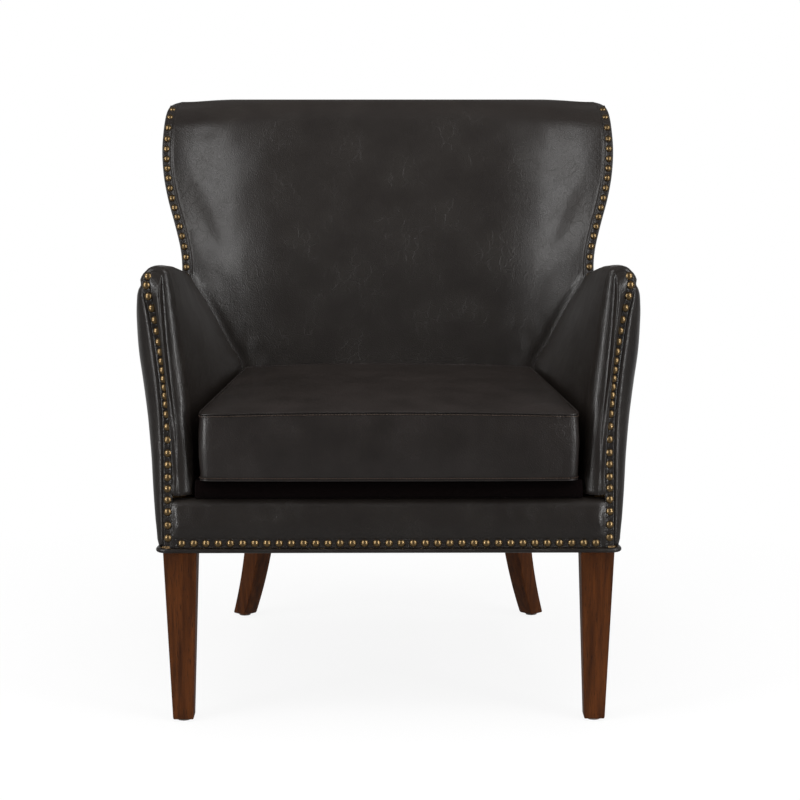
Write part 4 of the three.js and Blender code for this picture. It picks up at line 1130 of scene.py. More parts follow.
@dataclass
class BackUpholstery:
    """Inside back with its wings and top roll, and the panels behind it."""

    form: BackForm
    arm: ArmForm
    levels: int = 92
    roll_levels: int = 18
    spread: int = 62
    keep: float = 0.16
    tip_drop: float = 3.5
    under_panel: float = 3.4
    panel_foot: float = 602.0
    seam_depth: float = 3.0
    seam_width: float = 9.0
    panel_thickness: float = 3.0
    back_foot: float = 265.6
    back_clearance: float = 2.5
    arm_inset: float = 26.0
    lip_depth: float = 5.0
    fill: float = 0.75

    def heights(self) -> tuple[Array, Array]:
        """Heights of the levels, and how much of its thickness the back keeps at each."""
        plain = np.linspace(self.form.foot + 1, self.form.roll_foot, self.levels)
        turn = np.linspace(0, QUARTER, self.roll_levels + 1)[1:]
        z = np.concatenate([plain, self.form.roll_foot + self.form.roll * np.sin(turn)])
        keep = np.concatenate([np.ones_like(plain), mix(self.keep, 1, np.cos(turn))])
        return z, keep

    def inset(self, z: Array) -> Array:
        """How far the hidden edges of the back stay inside the arms."""
        return self.arm_inset * smoothstep(600, 480, z)

    def lines(self) -> tuple[Array, Array]:
        """Front and rear lines of the right half at each level.

        Returns:
            Two grids of levels by places, from the middle to the wing's edge.
        """
        z, keep = self.heights()
        q = np.concatenate([np.linspace(0, 7, self.spread), np.linspace(7, 8, 9)[1:]])
        inside = np.interp(q, range(9), (0, 0.3, 0.55, 0.74, 0.85, 0.92, 0.97, 1, 1))
        strip = np.clip(q - 7, 0, 1)
        edge = self.form.edge(z)[:, None] - self.inset(z)[:, None]
        wing = self.form.wing(z)[:, None]
        x = inside * (edge - self.form.strip) + strip * (self.form.strip - 0.8)
        lip = wing - 1.2 * np.sin(math.pi * strip) + 3 * strip**6
        front = lattice(x, np.where(strip > 0, lip, self.form.depth(z[:, None], x)), z[:, None])
        corner_x, corner_y = (value[:, None] for value in self.form.corner(z))
        behind = np.interp(q, (0, 1, 2, 3), (0, 0.4, 0.75, 1))
        along = np.interp(q, (3, 4, 5, 6, 7, 8), (0, 0.3, 0.58, 0.82, 0.97, 1))
        rear_x = mix(corner_x * behind, edge, along)
        rear = lattice(rear_x, mix(corner_y, wing + self.lip_depth, along), front[..., 2])
        middle = (front + rear) / 2
        covered = self.under_panel * smoothstep(867, 863, z)[:, None] * smoothstep(7.8, 7.2, q)
        front = mix(middle, front, keep[:, None, None])
        rear = mix(middle, rear, keep[:, None, None])
        rear = rear + unit(front - rear) * covered[..., None]
        drop = self.tip_drop * smoothstep(290, 350, rear_x) * smoothstep(880, self.form.top, z)[:, None]
        front[..., 2] -= drop
        rear[..., 2] -= drop
        return self.drawn_in(front, smoothstep(0.1, 0.6, keep)[:, None]), rear

    def drawn_in(self, front: Array, strength: Array) -> Array:
        """Front of the back, with its seams at the arms and its soft unevenness.

        Args:
            front: the plain surface.
            strength: how much of the unevenness each level gets.

        Returns:
            The surface as the padding shapes it.
        """
        x, z = front[..., 0], front[..., 2]
        away = self.arm_distance(x, z)
        groove = self.seam_depth * bump(away, 0, self.seam_width)
        fan = bump(away, 22, 16) * np.sin(z / 7.5 + x / 9) * bump(z, 470, 60) * 1.1
        soft = ripple(front, (110, 80, 90), 12.0) * 1.6 + ripple(front, (28, 30, 34), 2.2) * 0.35
        lumbar = -5.0 * bump(z, 560, 110) * bump(x, 0, 210)
        lumbar -= 3.0 * bump(x, 290, 44) * bump(z, 792, 40)
        lumbar -= 3.2 * bump(x, 306, 34) * bump(z - (x - 308) * 1.6, 695, 36)
        still = smoothstep(9, 22, self.form.edge(z) - x)
        soft = soft * smoothstep(0, 30, away)
        seam = 1.6 * bump(self.form.edge(z) - x, self.form.strip, 1.6) * smoothstep(600, 625, z)
        front = front.copy()
        front[..., 1] += (groove + seam + (fan + soft + lumbar) * still) * strength
        return front

    def arm_distance(self, x: Array, z: Array) -> Array:
        """Distance of places on the back from the arm where the two meet, 0 inside the arm."""
        t = np.linspace(8, self.arm.last, 160)
        span, height = self.arm.section(t, np.full_like(t, self.arm.station))
        apart = np.hypot(x[..., None] - span, z[..., None] - height)
        nearest = apart.argmin(-1)
        before, after = np.maximum(nearest - 1, 0), np.minimum(nearest + 1, len(t) - 1)
        run_x, run_z = span[after] - span[before], height[after] - height[before]
        outside = run_x * (z - height[nearest]) - run_z * (x - span[nearest]) < 0
        return np.where(outside, apart.min(-1), 0)

    def build(self, shop: Workshop) -> None:
        """Makes the inside back and the three panels behind it."""
        over, under = (self.whole(half) for half in self.lines())
        rings = np.concatenate([over, under[:, ::-1]], 1)
        shop.piece("inside_back", loft(rings), LEATHER, "inside_back_pad")
        for side in Side:
            panel = mirrored(self.wing_panel(), side)
            shop.piece(side.of("outer_wing_leather"), panel, LEATHER, side.of("outer_wing_panel"))
        shop.piece("outer_back_leather", self.back_panel(), LEATHER, "outer_back_panel")

    def whole(self, half: Array) -> Array:
        """Both halves of a grid whose first column is the middle."""
        return np.concatenate([(half[:, 1:] * np.array([-1.0, 1, 1]))[:, ::-1], half], 1)

    def pillow(self, grid: Array, out: Sequence[float], seed: float) -> list[Patch]:
        """Leather panel over a grid, a little full and drawn down at its edges."""
        look = normals(grid, out)
        middle = grid.shape[0] // 2
        border = edge_distance(lengths(grid[:, grid.shape[1] // 2]), lengths(grid[middle]))
        swell = 1.8 * smoothstep(0, 70, border) - 1.4 * bump(border, 0, 3.0)
        waves = ripple(grid, (150, 120, 110), seed) * smoothstep(0, 50, border)
        outer = grid + look * (swell + waves)[..., None]
        return skin(outer, grid - look * self.panel_thickness)

    def wing_panel(self) -> list[Patch]:
        """Leather over the outside of the right wing."""
        z = np.linspace(self.panel_foot, self.form.roll_foot, 54)[:, None]
        share = np.linspace(0.004, 0.985, 44)[None, :]
        x, y = self.form.corner(z)
        wide = mix(x, self.form.edge(z), share)
        deep = mix(y, self.form.wing(z) + self.lip_depth, share)
        return self.pillow(lattice(wide, deep, z), (1, 0, 0), 31.0)

    def back_panel(self) -> list[Patch]:
        """Leather over the outside of the back."""
        z = np.linspace(self.back_foot, self.form.roll_foot, 96)[:, None]
        share = np.linspace(-1, 1, 90)[None, :]
        x, y = self.form.corner(z)
        return self.pillow(lattice((x - self.back_clearance) * share, y, z), (0, 1, 0), 47.0)


@dataclass
class NailRow:
    """A row of domed nails in a strip of leather."""

    radius: float = 5.9
    rise: float = 4.1
    sides: int = 20
    dimple: float = 1.3
    sink: float = 0.2
    dimple_width: float = 6.4
    thickness: float = 1.6
    profile: tuple[tuple[float, float], ...] = (
        (0.0, 1.0), (0.3, 0.95), (0.56, 0.8), (0.78, 0.56), (0.93, 0.26), (1.0, 0.0), (0.97, -0.22),
    )  # fmt: skip

    def nails(self, places: Array, outs: Array) -> list[Patch]:
        """Domes of the nails, each at its place and looking its way out."""
        shape = np.array(self.profile)
        angle = np.linspace(0, 2 * math.pi, self.sides, endpoint=False)
        patches: list[Patch] = []
        for place, out in zip(places, outs):
            across = unit(np.cross(out, [0.0, 0, 1.0]))
            up = np.cross(across, out)
            ring = np.cos(angle)[:, None] * across + np.sin(angle)[:, None] * up
            wide, high = shape[:, 0, None, None], shape[:, 1, None, None]
            grid = place + self.radius * wide * ring + self.rise * high * out
            patches += [grid_patch(grid, wrap=True), grid_patch(rungs(grid[-1]))]
        return patches

    def strip(
        self, grid: Array, out: Array, rows: Array, reach: Array, spots: Array, edge: float
    ) -> Array:
        """Leather strip that the nails draw in.

        Args:
            grid: plain surface of the strip.
            out: its normals.
            rows: length along the strip at each row.
            reach: distance from the nails' line at each column.
            spots: lengths at which the nails sit.
            edge: how high the strip's two edges stand.

        Returns:
            The strip's outer surface.
        """
        near = np.abs(rows[:, None] - spots[None, :])
        gap = near.min(1)[:, None]
        hollow = self.dimple * np.exp(-((gap**2 + reach**2) / self.dimple_width**2))
        side = np.abs(reach)
        border = side.max()
        ridge = edge * bump(side, border - 1.7, 1.5)
        pucker = 0.3 * np.sin(rows[:, None] / 1.9) * bump(side, 5.5, 2.5)
        drop = -self.thickness * smoothstep(border - 1.0, border, side)
        height = 0.5 + ridge - hollow + pucker + drop
        return grid + out * height[..., None]

    def build(
        self,
        shop: Workshop,
        name: str,
        node: str,
        surface: Callable[[Array, Array], Array],
        rows: Array,
        reach: Array,
        spots: Array,
        side: Side,
        edge: float,
    ) -> None:
        """Makes the strip and its nails.

        Args:
            shop: the workshop.
            name: start of the two pieces' names.
            node: the frame's node that they stand for.
            surface: gives the points at lengths along the row and distances beside it.
            rows: lengths of the strip's rows.
            reach: distances of its columns.
            spots: lengths at which the nails sit.
            side: the side it is made for.
            edge: how high the strip's edges stand.
        """
        grid = surface(rows, reach)
        out = normals(grid, AHEAD)
        outer = self.strip(grid, out, rows, reach[None, :], spots, edge)
        patches = mirrored(skin(outer, grid - out * self.thickness), side)
        shop.piece(f"{name}_strip", patches, TRIM_LEATHER)
        sits = surface(spots, np.array([-2.0, 0.0, 2.0]))
        ahead, behind = (surface(spots + step, np.zeros(1)) for step in (1, -1))
        outs = unit(np.cross(unit(ahead - behind)[:, 0], sits[:, 2] - sits[:, 0]))
        outs = np.where((outs @ np.array(AHEAD))[:, None] < 0, -outs, outs)
        flip = np.array([side.value, 1, 1])
        seats = (sits[:, 1] - outs * self.sink) * flip
        made = shop.piece(f"{name}_nails", self.nails(seats, outs * flip), BRASS, node)
        self.age(made, seats, outs * flip)

    def age(self, made: bpy.types.Object, seats: Array, outs: Array) -> None:
        """Writes how high each point is on its dome, for the tarnish."""
        points = points_of(made)
        nearest = ((points[:, None] - seats[None]) ** 2).sum(-1).argmin(1)
        height = ((points - seats[nearest]) * outs[nearest]).sum(-1) / self.rise
        made.data.attributes.new("dome", "FLOAT", "POINT").data.foreach_set("value", height)


@dataclass
class NailTrim:
    """Rows of nails down the arm fronts, up the wings and along the foot of the border."""

    arm: ArmForm
    back: BackForm
    row: NailRow = field(default_factory=NailRow)
    arm_steps: tuple[float, ...] = (
        13.5, 16.0, 17.6, 17.4, 16.4, 15.8, 14.6, 13.6, 13.0, 12.8, 12.2, 12.0, 12.4, 14.6, 18.2,
        18.9, 19.4, 17.0, 18.4, 16.6, 16.4, 17.6, 19.6, 18.8,
    )  # fmt: skip
    arm_end: float = 8.45
    wing_start: float = 29.0
    wing_steps: tuple[float, ...] = (
        26.0, 26.0, 21.0, 18.0, 17.2, 16.4, 16.4, 17.2, 17.0, 16.6, 16.4, 16.8, 16.6, 17.8, 18.2,
        16.6, 16.0, 16.0,
    )  # fmt: skip
    front_pitch: float = 17.7
    front_count: int = 35
    front_rise: float = 7.2
    half_width: float = 7.0
    wing_inset: float = 7.8
    arm_start: float = 1.5
    row_pitch: float = 1.7

    def arm_surface(self, rows: Array, reach: Array) -> Array:
        """Surface beside the arm's line of nails; a reach above 0 goes round the edge."""
        fine = np.linspace(self.arm_end, 0.0, 500)
        line = self.arm.place(fine, 0.0, 0)
        t = np.interp(rows, lengths(line), fine)
        radius = self.arm.corner * self.arm.rounding(t)[:, None]
        turn = np.clip(reach[None, :] / radius, 0, QUARTER)
        tt = np.broadcast_to(t[:, None], turn.shape)
        outer = self.arm.place(tt, turn, 0)
        at = self.arm.place(t, 0.0, 0)
        beside = unit(self.arm.place(self.arm.last - t, 0.0, 0) - at)
        inner = at[:, None] + beside[:, None] * -np.minimum(reach, 0)[None, :, None]
        found = np.where((reach > 0)[None, :, None], outer, inner)
        found[..., 1] -= 0.2
        return found

    def wing_surface(self, rows: Array, reach: Array) -> Array:
        """Surface beside the wing's line of nails; a reach above 0 goes to the outside."""
        fine = np.linspace(self.back.top - 6, 600, 400)
        line = self.wing_point(fine, np.zeros(1))[:, 0]
        z = np.interp(rows, lengths(line), fine)
        return self.wing_point(z, reach)

    def wing_point(self, z: Array, reach: Array) -> Array:
        """Points on the wing's front edge at heights and distances from its middle."""
        x = self.back.edge(z)[:, None] - self.wing_inset + reach[None, :]
        y = self.back.wing(z)[:, None] + 4.2 * smoothstep(4.5, 8.5, reach)[None, :]
        crown = np.clip((z - self.back.roll_foot) / self.back.roll, 0, 1)[:, None]
        y = y + 10 * crown**2
        return lattice(x, y - 1.0, z[:, None])

    def front_surface(self, rows: Array, reach: Array) -> Array:
        """Surface beside the row of nails along the front; a reach above 0 goes up."""
        z = self.arm.foot + self.front_rise + reach[None, :]
        return lattice(rows[:, None], self.arm.face_at(z) - 0.2, z)

    def build(self, shop: Workshop) -> None:
        """Makes all the rows."""
        across = np.linspace(-self.half_width, self.half_width, 19)
        arm = self.arm_start + np.cumsum((0.0, *self.arm_steps))
        wing = self.wing_start + np.cumsum((0.0, *self.wing_steps))
        arm_rows = np.arange(0, arm[-1] + 12, self.row_pitch)
        wing_rows = np.arange(wing[0] - 14, wing[-1] + 10, self.row_pitch)
        kinds = (
            ("arm", self.arm_surface, arm_rows, arm, 0.5),
            ("wing", self.wing_surface, wing_rows, wing, 0.9),
        )
        for side in Side:
            for word, surface, rows, spots, edge in kinds:
                name, node = side.of(f"{word}_trim"), side.of(f"{word}_nail_band")
                self.row.build(shop, name, node, surface, rows, across, spots, side, edge)
        half = self.front_pitch * (self.front_count - 1) / 2
        spots = np.linspace(-half, half, self.front_count)
        rows = np.arange(-half - 9, half + 9, self.row_pitch)
        tall = np.linspace(-self.front_rise, self.front_rise, 15)
        name, node, surface = "front_trim", "front_nail_band", self.front_surface
        self.row.build(shop, name, node, surface, rows, tall, spots, Side.RIGHT, 0.9)


@dataclass
class SeatFront:
    """Border under the cushion, the deck with its roll and the piped edge at the foot."""

    arm: ArmForm
    back: BackForm
    half_low: float = 318.5
    half_high: float = 318.0
    foot: float = 265.3
    top: float = 337.3
    bulge: float = 6.5
    thickness: float = 12.0
    top_radius: float = 11.0
    shelf: float = 14.0
    deck_low: float = 338.5
    deck_high: float = 364.0
    deck_front: float = -358.0
    deck_rear: float = 132.0
    deck_roll: float = 10.0
    deck_lip: float = 14.0
    deck_under: float = 344.0
    deck_level: float = 350.0
    deck_clearance: float = 3.5
    deck_sink: float = 0.8
    welt_radius: float = 3.5
    welt_height: float = 261.5

    def build(self, shop: Workshop) -> None:
        """Makes the border, the deck and the piped edge."""
        shop.piece("seat_border", self.border(), LEATHER, "front_border")
        # The deck's near-black cloth is painted shade of the gap under the cushion.
        shop.piece("shade_dark_deck_cloth", self.deck(), SHADE_DARK_DECK_CLOTH, "seat_deck")
        shop.piece("foot_piping", self.piping(), TRIM_LEATHER, "base_welt")

    def border(self) -> list[Patch]:
        """Padded border across the front of the seat."""
        turn = np.linspace(0, QUARTER, 9)
        straight = np.linspace(self.foot, self.top - self.top_radius, 26)
        z = np.concatenate([straight, self.top - self.top_radius * (1 - np.sin(turn[1:]))])
        back = np.concatenate([0 * straight, self.top_radius * (1 - np.cos(turn[1:]))])
        share = np.linspace(-1, 1, 190)[None, :]
        level = (z - self.foot) / (self.top - self.foot)
        x = share * mix(self.half_low, self.half_high, level)[:, None]
        grid = lattice(x, (self.arm.face_at(z) + back)[:, None], z[:, None])
        height = grid[..., 2]
        beside = self.half_low - np.abs(x)
        rise = np.clip((height - self.foot - self.shelf) / (self.top - self.foot - self.shelf), 0, 1)
        full = np.sin(math.pi * rise**0.8) ** 0.6 * smoothstep(0, 14, beside)
        lines = 0.5 * np.sin(x / 5.2 + 3 * ripple(grid, (60, 60, 60), 6.0)) * bump(height, 318, 16)
        soft = ripple(grid, (50, 40, 24), 9.0) * 1.0 + ripple(grid, (9, 20, 30), 17.0) * 0.2
        grid[..., 1] -= full * (self.bulge + soft + lines * smoothstep(0, 0.4, np.abs(share)))
        inner = grid.copy()
        inner[..., 1] = self.arm.face_at(self.foot) + self.thickness
        return skin(grid, inner)

    def deck(self) -> list[Patch]:
        """Cloth deck under the cushion, with a soft roll along its front."""
        y = np.linspace(self.deck_front, self.deck_rear, 60)[:, None]
        share = np.linspace(-1, 1, 50)[None, :]
        depth = np.maximum(y + 0 * share, self.arm.edge)
        level = np.full_like(depth, self.deck_level)
        x = (self.arm.inner_span(depth, level) - self.deck_clearance) * share
        ahead = y - self.deck_front
        turn = np.clip(self.deck_roll - ahead, 0, self.deck_roll) / self.deck_roll
        roll = self.deck_roll * (1 - np.sqrt(np.clip(1 - turn**2, 0, 1)))
        upper = self.deck_high - roll - self.deck_sink
        waves = ripple(lattice(x, y, 0.0), (70, 70, 1), 4.0) * 0.6
        floor = np.where(ahead < self.deck_lip, self.deck_low, self.deck_under)
        return skin(lattice(x, y, upper + waves), lattice(x, y, floor))

    def piping(self) -> list[Patch]:
        """Piped edge round the foot of the upholstery."""
        inset = 4.3 - self.welt_radius
        front, rear = self.arm.face + inset, self.back.rear_foot - inset
        wide, narrow = 0.931 * self.arm.half - inset, self.back.corner_foot - inset
        corners = np.array([[-wide, front], [wide, front], [narrow, rear], [-narrow, rear]])
        loop = self.rounded(corners, (18, 18, 10, 10))
        path = np.column_stack([loop, np.full(len(loop), self.welt_height)])
        return tube(path, self.welt_radius, sides=14, closed=True)

    def rounded(self, corners: Array, radii: Sequence[float]) -> Array:
        """Closed outline with its corners rounded, in points about 6 mm apart."""
        points: list[Array] = []
        count = len(corners)
        for i in range(count):
            corner = corners[i]
            before = unit(corners[i - 1] - corner)
            after = unit(corners[(i + 1) % count] - corner)
            share = np.linspace(0, 1, 9)[:, None]
            a, b = corner + before * radii[i], corner + after * radii[i]
            points += list(mix(mix(a, corner, share), mix(corner, b, share), share))
            end = corners[(i + 1) % count] - after * radii[(i + 1) % count]
            steps = int(np.linalg.norm(end - b) / 6)
            points += list(mix(b, end, np.linspace(0, 1, steps)[1:-1, None]))
        return np.array(points)


@dataclass
class SeatCushion:
    """Loose box cushion: crowned top, boxing between two seams, and its stitching."""

    arm: ArmForm
    back: BackForm
    bottom: float = 365.0
    lower_seam: float = 367.6
    corner_seam: float = 463.0
    bow: float = 4.0
    crown: float = 10.0
    front: float = -376.5
    front_clearance: float = 12.5
    rear_clearance: float = 3.0
    back_clearance: float = 2.8
    corner: float = 20.0
    rear_corner: float = 5.0
    pull: float = 4.0
    swell: float = 3.5
    rear: float = 146.0
    taper_front: float = -380.0
    taper: float = 526.0
    rear_half: float = 225.0
    front_bow: float = 2.0
    count: int = 76
    fullness: float = 4.0
    frames: int = 20
    cap: float = 6.0
    stitch: float = 3.4
    stitch_pitch: float = 4.6
    thread: float = 0.45
    seam_drop: float = 3.0
    seam_radius: float = 1.3
    cloth: dict[str, float] = field(default_factory=lambda: dict(
        quality=5, mass=0.4, tension_stiffness=18, compression_stiffness=18, shear_stiffness=8,
        bending_stiffness=1.2, use_pressure=True,
    ))  # fmt: skip

    def outline(self, count: int) -> Array:
        """Outline of the cushion, four sides of equal point count.

        Args:
            count: number of steps on each side.

        Returns:
            Points in order, from the front left corner to the right and round.
        """
        low = self.front
        y = np.linspace(low, self.rear, 80)
        depth = np.maximum(y, self.arm.edge)
        inner = self.arm.inner_span(depth, np.full_like(depth, self.bottom))
        way = np.clip((y - self.taper_front) / self.taper, 0, 1)
        half = inner - mix(self.front_clearance, self.rear_clearance, way)
        half = half - self.pull * np.sin(math.pi * way)
        far = float(self.back.depth(np.array(self.bottom), np.array(self.rear_half)))
        far -= self.back_clearance
        depths = np.linspace(low, far, count + 1)
        side = np.stack([np.interp(depths, y, half), depths], -1)
        span = np.linspace(-1, 1, count + 1)
        ahead = np.stack([span * side[0, 0], low - self.front_bow * (1 - span**2)], -1)
        x = span * side[-1, 0]
        middle = self.back.depth(np.full_like(x, self.bottom), x) - self.back_clearance
        behind = np.stack([x, np.minimum(middle, far + 10)], -1)
        left = side[::-1] * np.array([-1.0, 1])
        loop = np.concatenate([ahead[:-1], side[:-1], behind[::-1][:-1], left[:-1]])
        return self.round_corners(loop, count)

    def round_corners(self, loop: Array, count: int) -> Array:
        """The outline with its four corners eased into arcs."""
        smooth = loop.copy()
        total = len(loop)
        for corner in range(4):
            index = corner * count
            before, after = loop[index - 1] - loop[index], loop[(index + 1) % total] - loop[index]
            radius = self.corner if corner < 2 else self.rear_corner
            reach = max(1, int(radius / max(np.linalg.norm(before), np.linalg.norm(after))))
            first, last = loop[index - reach], loop[(index + reach) % total]
            for step in range(-reach, reach + 1):
                t = (step + reach) / (2 * reach)
                curve = mix(mix(first, loop[index], t), mix(loop[index], last, t), t)
                smooth[(index + step) % total] = curve
        return smooth

    def sheet(self, loop: Array, count: int) -> Array:
        """Grid of plan points inside the outline."""
        first, second = loop[: count + 1], loop[count : 2 * count + 1]
        third = loop[2 * count : 3 * count + 1]
        fourth = np.concatenate([loop[3 * count :], loop[:1]])
        u = np.linspace(0, 1, count + 1)[None, :, None]
        v = np.linspace(0, 1, count + 1)[:, None, None]
        low, high = first[None], third[::-1][None]
        left, right = fourth[::-1][:, None], second[:, None]
        corners = (1 - u) * (1 - v) * loop[0] + u * (1 - v) * loop[count]
        corners = corners + u * v * loop[2 * count] + (1 - u) * v * loop[3 * count]
        return (1 - v) * low + v * high + (1 - u) * left + u * right - corners

    def patches(self) -> tuple[list[Patch], list[Array]]:
        """Surface of the cushion before it is filled, and the lines of its two seams."""
        count = self.count
        loop = self.outline(count)
        plan = self.sheet(loop, count)
        share = np.linspace(-1, 1, count + 1)
        dome = (1 - share[None, :] ** 4) * (1 - share[:, None] ** 4)
        bowed = 1 - (share[None, :] * share[:, None]) ** 2
        seam = self.corner_seam + self.bow * bowed
        top = np.dstack([plan, seam + self.crown * dome])
        under = mix(self.lower_seam, self.bottom, smoothstep(0, 0.12, dome))
        low = np.dstack([plan, under])
        edge = self.corner_seam + self.bow * np.tile(1 - share[:-1] ** 2, 4)
        outward = unit(loop - loop.mean(0))
        boxing = []
        for level in np.linspace(0, 1, 15):
            swollen = loop + outward * self.swell * math.sin(math.pi * level)
            boxing.append(np.column_stack([swollen, mix(self.lower_seam, edge, level)]))
        surface = [grid_patch(top), grid_patch(low), grid_patch(np.stack(boxing), wrap=True)]
        return surface, [boxing[0], boxing[-1]]

    def build(self, shop: Workshop) -> None:
        """Makes the cushion and its stitching."""
        patches, seams = self.patches()
        made = shop.piece("seat_cushion", patches, SEAT_LEATHER, "seat_cushion_cover", CUSHION)
        before = points_of(made)
        held = [self.nearest(before, seam) for seam in seams]
        self.fill(made, sorted({index for line in held for index in line}))
        self.finish_surface(made, before)
        self.sew(shop, made, held)

    def nearest(self, points: Array, line: Array) -> list[int]:
        """Index of the point nearest to each place on a line."""
        return [int(((points - place) ** 2).sum(1).argmin()) for place in line]

    def fill(self, made: bpy.types.Object, held: list[int]) -> None:
        """Swells the cushion between its seams with a short cloth simulation.

        Args:
            made: the cushion.
            held: points that the seams hold in place.
        """
        group = made.vertex_groups.new(name="seams")
        group.add(held, 1.0, "REPLACE")
        cloth = made.modifiers.new("fill", "CLOTH")
        settings = cloth.settings
        settings.vertex_group_mass = group.name
        for name, value in self.cloth.items():
            setattr(settings, name, value)
        settings.uniform_pressure_force = self.fullness
        settings.effector_weights.gravity = 0
        scene = bpy.context.scene
        for frame in range(1, self.frames + 1):
            scene.frame_set(frame)
        graph = bpy.context.evaluated_depsgraph_get()
        shown = made.evaluated_get(graph)
        swollen = np.array([vertex.co for vertex in shown.to_mesh().vertices])
        shown.to_mesh_clear()
        made.modifiers.remove(cloth)
        made.vertex_groups.remove(group)
        scene.frame_set(1)
        set_points(made, swollen / MM)

    def finish_surface(self, made: bpy.types.Object, before: Array) -> None:
        """Caps the swelling and adds the fine wrinkles.

        Args:
            made: the cushion.
            before: its points before it was filled.
        """
        look = np.array([vertex.normal for vertex in made.data.vertices])
        moved = points_of(made) - before
        out = np.maximum((moved * look).sum(1), 0)
        LOG.info("cushion swells by up to %.1f mm before its cap", out.max())
        after = before + look * (self.cap * np.tanh(out / self.cap))[:, None]
        z = before[:, 2]
        between = smoothstep(0, 7, z - self.lower_seam) * smoothstep(0, 7, self.corner_seam - z)
        on_box = (np.abs(look[:, 2]) < 0.35) * between
        ahead = np.abs(look[:, 1]) > np.abs(look[:, 0])
        along = np.where(ahead, before[:, 0], before[:, 1])
        folds = np.sin(along / 5.2 + 4 * ripple(before, (70, 70, 70), 1.5)) * 0.3
        tight = ripple(before, (9, 9, 34), 4.2) * 0.5
        soft = ripple(before, (60, 60, 60), 6.4) * 0.9
        after += look * ((folds + tight + soft) * on_box)[:, None]
        on_top = smoothstep(0.6, 0.95, look[:, 2])
        after[:, 2] += ripple(before, (110, 110, 40), 7.7) * on_top
        after[:, 2] = np.maximum(after[:, 2], self.bottom + 0.3)
        set_points(made, after)

    def sew(self, shop: Workshop, made: bpy.types.Object, held: list[list[int]]) -> None:
        """Lays a fold of leather and a line of stitches along both seams.

        Args:
            shop: the workshop.
            made: the cushion.
            held: the points of the lower seam and of the upper one.
        """
        points = points_of(made)
        drops = (self.seam_drop, -self.seam_drop)
        for word, seam, drop in zip(("lower", "upper"), held, drops):
            path = points[seam]
            outward = unit(path[:, :2] - path[:, :2].mean(0))
            fold = tube(path, self.seam_radius, 8, closed=True)
            shop.piece(f"{word}_seam_fold", fold, SEAT_LEATHER, body=CUSHION)
            line = path.copy()
            line[:, 2] += drop
            line[:, :2] += outward * 1.5
            shop.piece(f"{word}_seam_stitches", self.stitches(line), THREAD, body=CUSHION)

    def stitches(self, path: Array) -> list[Patch]:
        """Short threads along a closed path."""
        closed = np.concatenate([path, path[:1]])
        along = lengths(closed)
        patches: list[Patch] = []
        for start in np.arange(0, along[-1] - self.stitch, self.stitch_pitch):
            where = start + self.stitch * np.array([0.0, 0.5, 1.0])
            line = np.stack([np.interp(where, along, closed[:, axis]) for axis in range(3)], -1)
            patches += tube(line, self.thread, sides=5)
        return patches


@dataclass
class Legs:
    """Tapered front legs and rear legs that sweep out and back, with eased edges."""

    bottom: float = 3.3
    top: float = 257.7
    front_top: Place = (305.2, -325.25, 49.5)
    front_foot: Place = (303.8, -331.75, 30.5)
    rear_top: Place = (217.08, 272.0, 41.0)
    rear_foot: Place = (253.08, 308.0, 29.0)
    ease: float = 1.6

    def ring(
        self, x: float, y: float, width: float, z: float, turned: bool, shrink: float
    ) -> Array:
        """Square section with eased corners.

        Args:
            x: middle, across.
            y: middle, in depth.
            width: side of the square.
            z: height.
            turned: the square stands on its corner.
            shrink: how much smaller each side's half is.

        Returns:
            Twenty points round the section.
        """
        half = width / 2 - shrink
        points = []
        for sx, sy in ((1, -1), (1, 1), (-1, 1), (-1, -1)):
            start = math.atan2(sy, sx) - math.pi / 4
            for angle in np.linspace(start, start + QUARTER, 5):
                cx, cy = sx * (half - self.ease), sy * (half - self.ease)
                points.append((cx + self.ease * math.cos(angle), cy + self.ease * math.sin(angle)))
        plan = np.array(points)
        if turned:
            turn = math.pi / 4
            spin = np.array([[math.cos(turn), math.sin(turn)], [-math.sin(turn), math.cos(turn)]])
            plan = plan @ spin
        return np.column_stack([plan + [x, y], np.full(len(plan), z)])

    def leg(self, top: Place, foot: Place, power: float, turned: bool) -> list[Patch]:
        """One leg of the right side; top and foot hold the middle and the width there."""
        drops = np.concatenate([[0, 0.004], np.linspace(0.01, 0.99, 30), [0.996, 1.0]])
        rings = []
        for drop in drops:
            place = mix(top[:2], foot[:2], drop**power)
            width = float(mix(top[2], foot[2], drop))
            end = min(drop, 1 - drop)
            shrink = 0.8 * max(0.0, 1 - end / 0.006)
            z = float(mix(self.top, self.bottom, drop))
            rings.append(self.ring(place[0], place[1], width, z, turned, shrink))
        return loft(np.stack(rings))

    def build(self, shop: Workshop) -> None:
        """Makes the four legs."""
        for side in Side:
            front = self.leg(self.front_top, self.front_foot, 1.0, False)
            rear = self.leg(self.rear_top, self.rear_foot, 2.0, True)
            for word, patches in (("front", front), ("rear", rear)):
                name, node = side.of(f"{word}_walnut_leg"), side.of(f"{word}_leg")
                soften(shop.piece(name, mirrored(patches, side), WALNUT, node))


@dataclass
class CarriedParts:
    """Nodes of the frame that stay as they are and only get their finish."""

    finishes: tuple[tuple[str, Finish], ...] = (
        ("glide", NYLON), ("bolt", STEEL), ("seat_spring", STEEL), ("spring_tie_wire", STEEL),
        ("webbing", WEBBING), ("insulator", WEBBING), ("dust_cover", LINING), ("zip", LINING),
        ("foam", FOAM),
    )  # fmt: skip

    def build(self, nodes: dict[str, bpy.types.Object]) -> None:
        """Gives each shown node the finish that its name asks for, or timber."""
        for name, node in sorted(nodes.items()):
            if node.hide_render:
                continue
            finish: Finish = next((f for word, f in self.finishes if word in name), TIMBER)
            finish.paint(node)
            LOG.info("%s keeps its shape, in %s", name, finish.name)


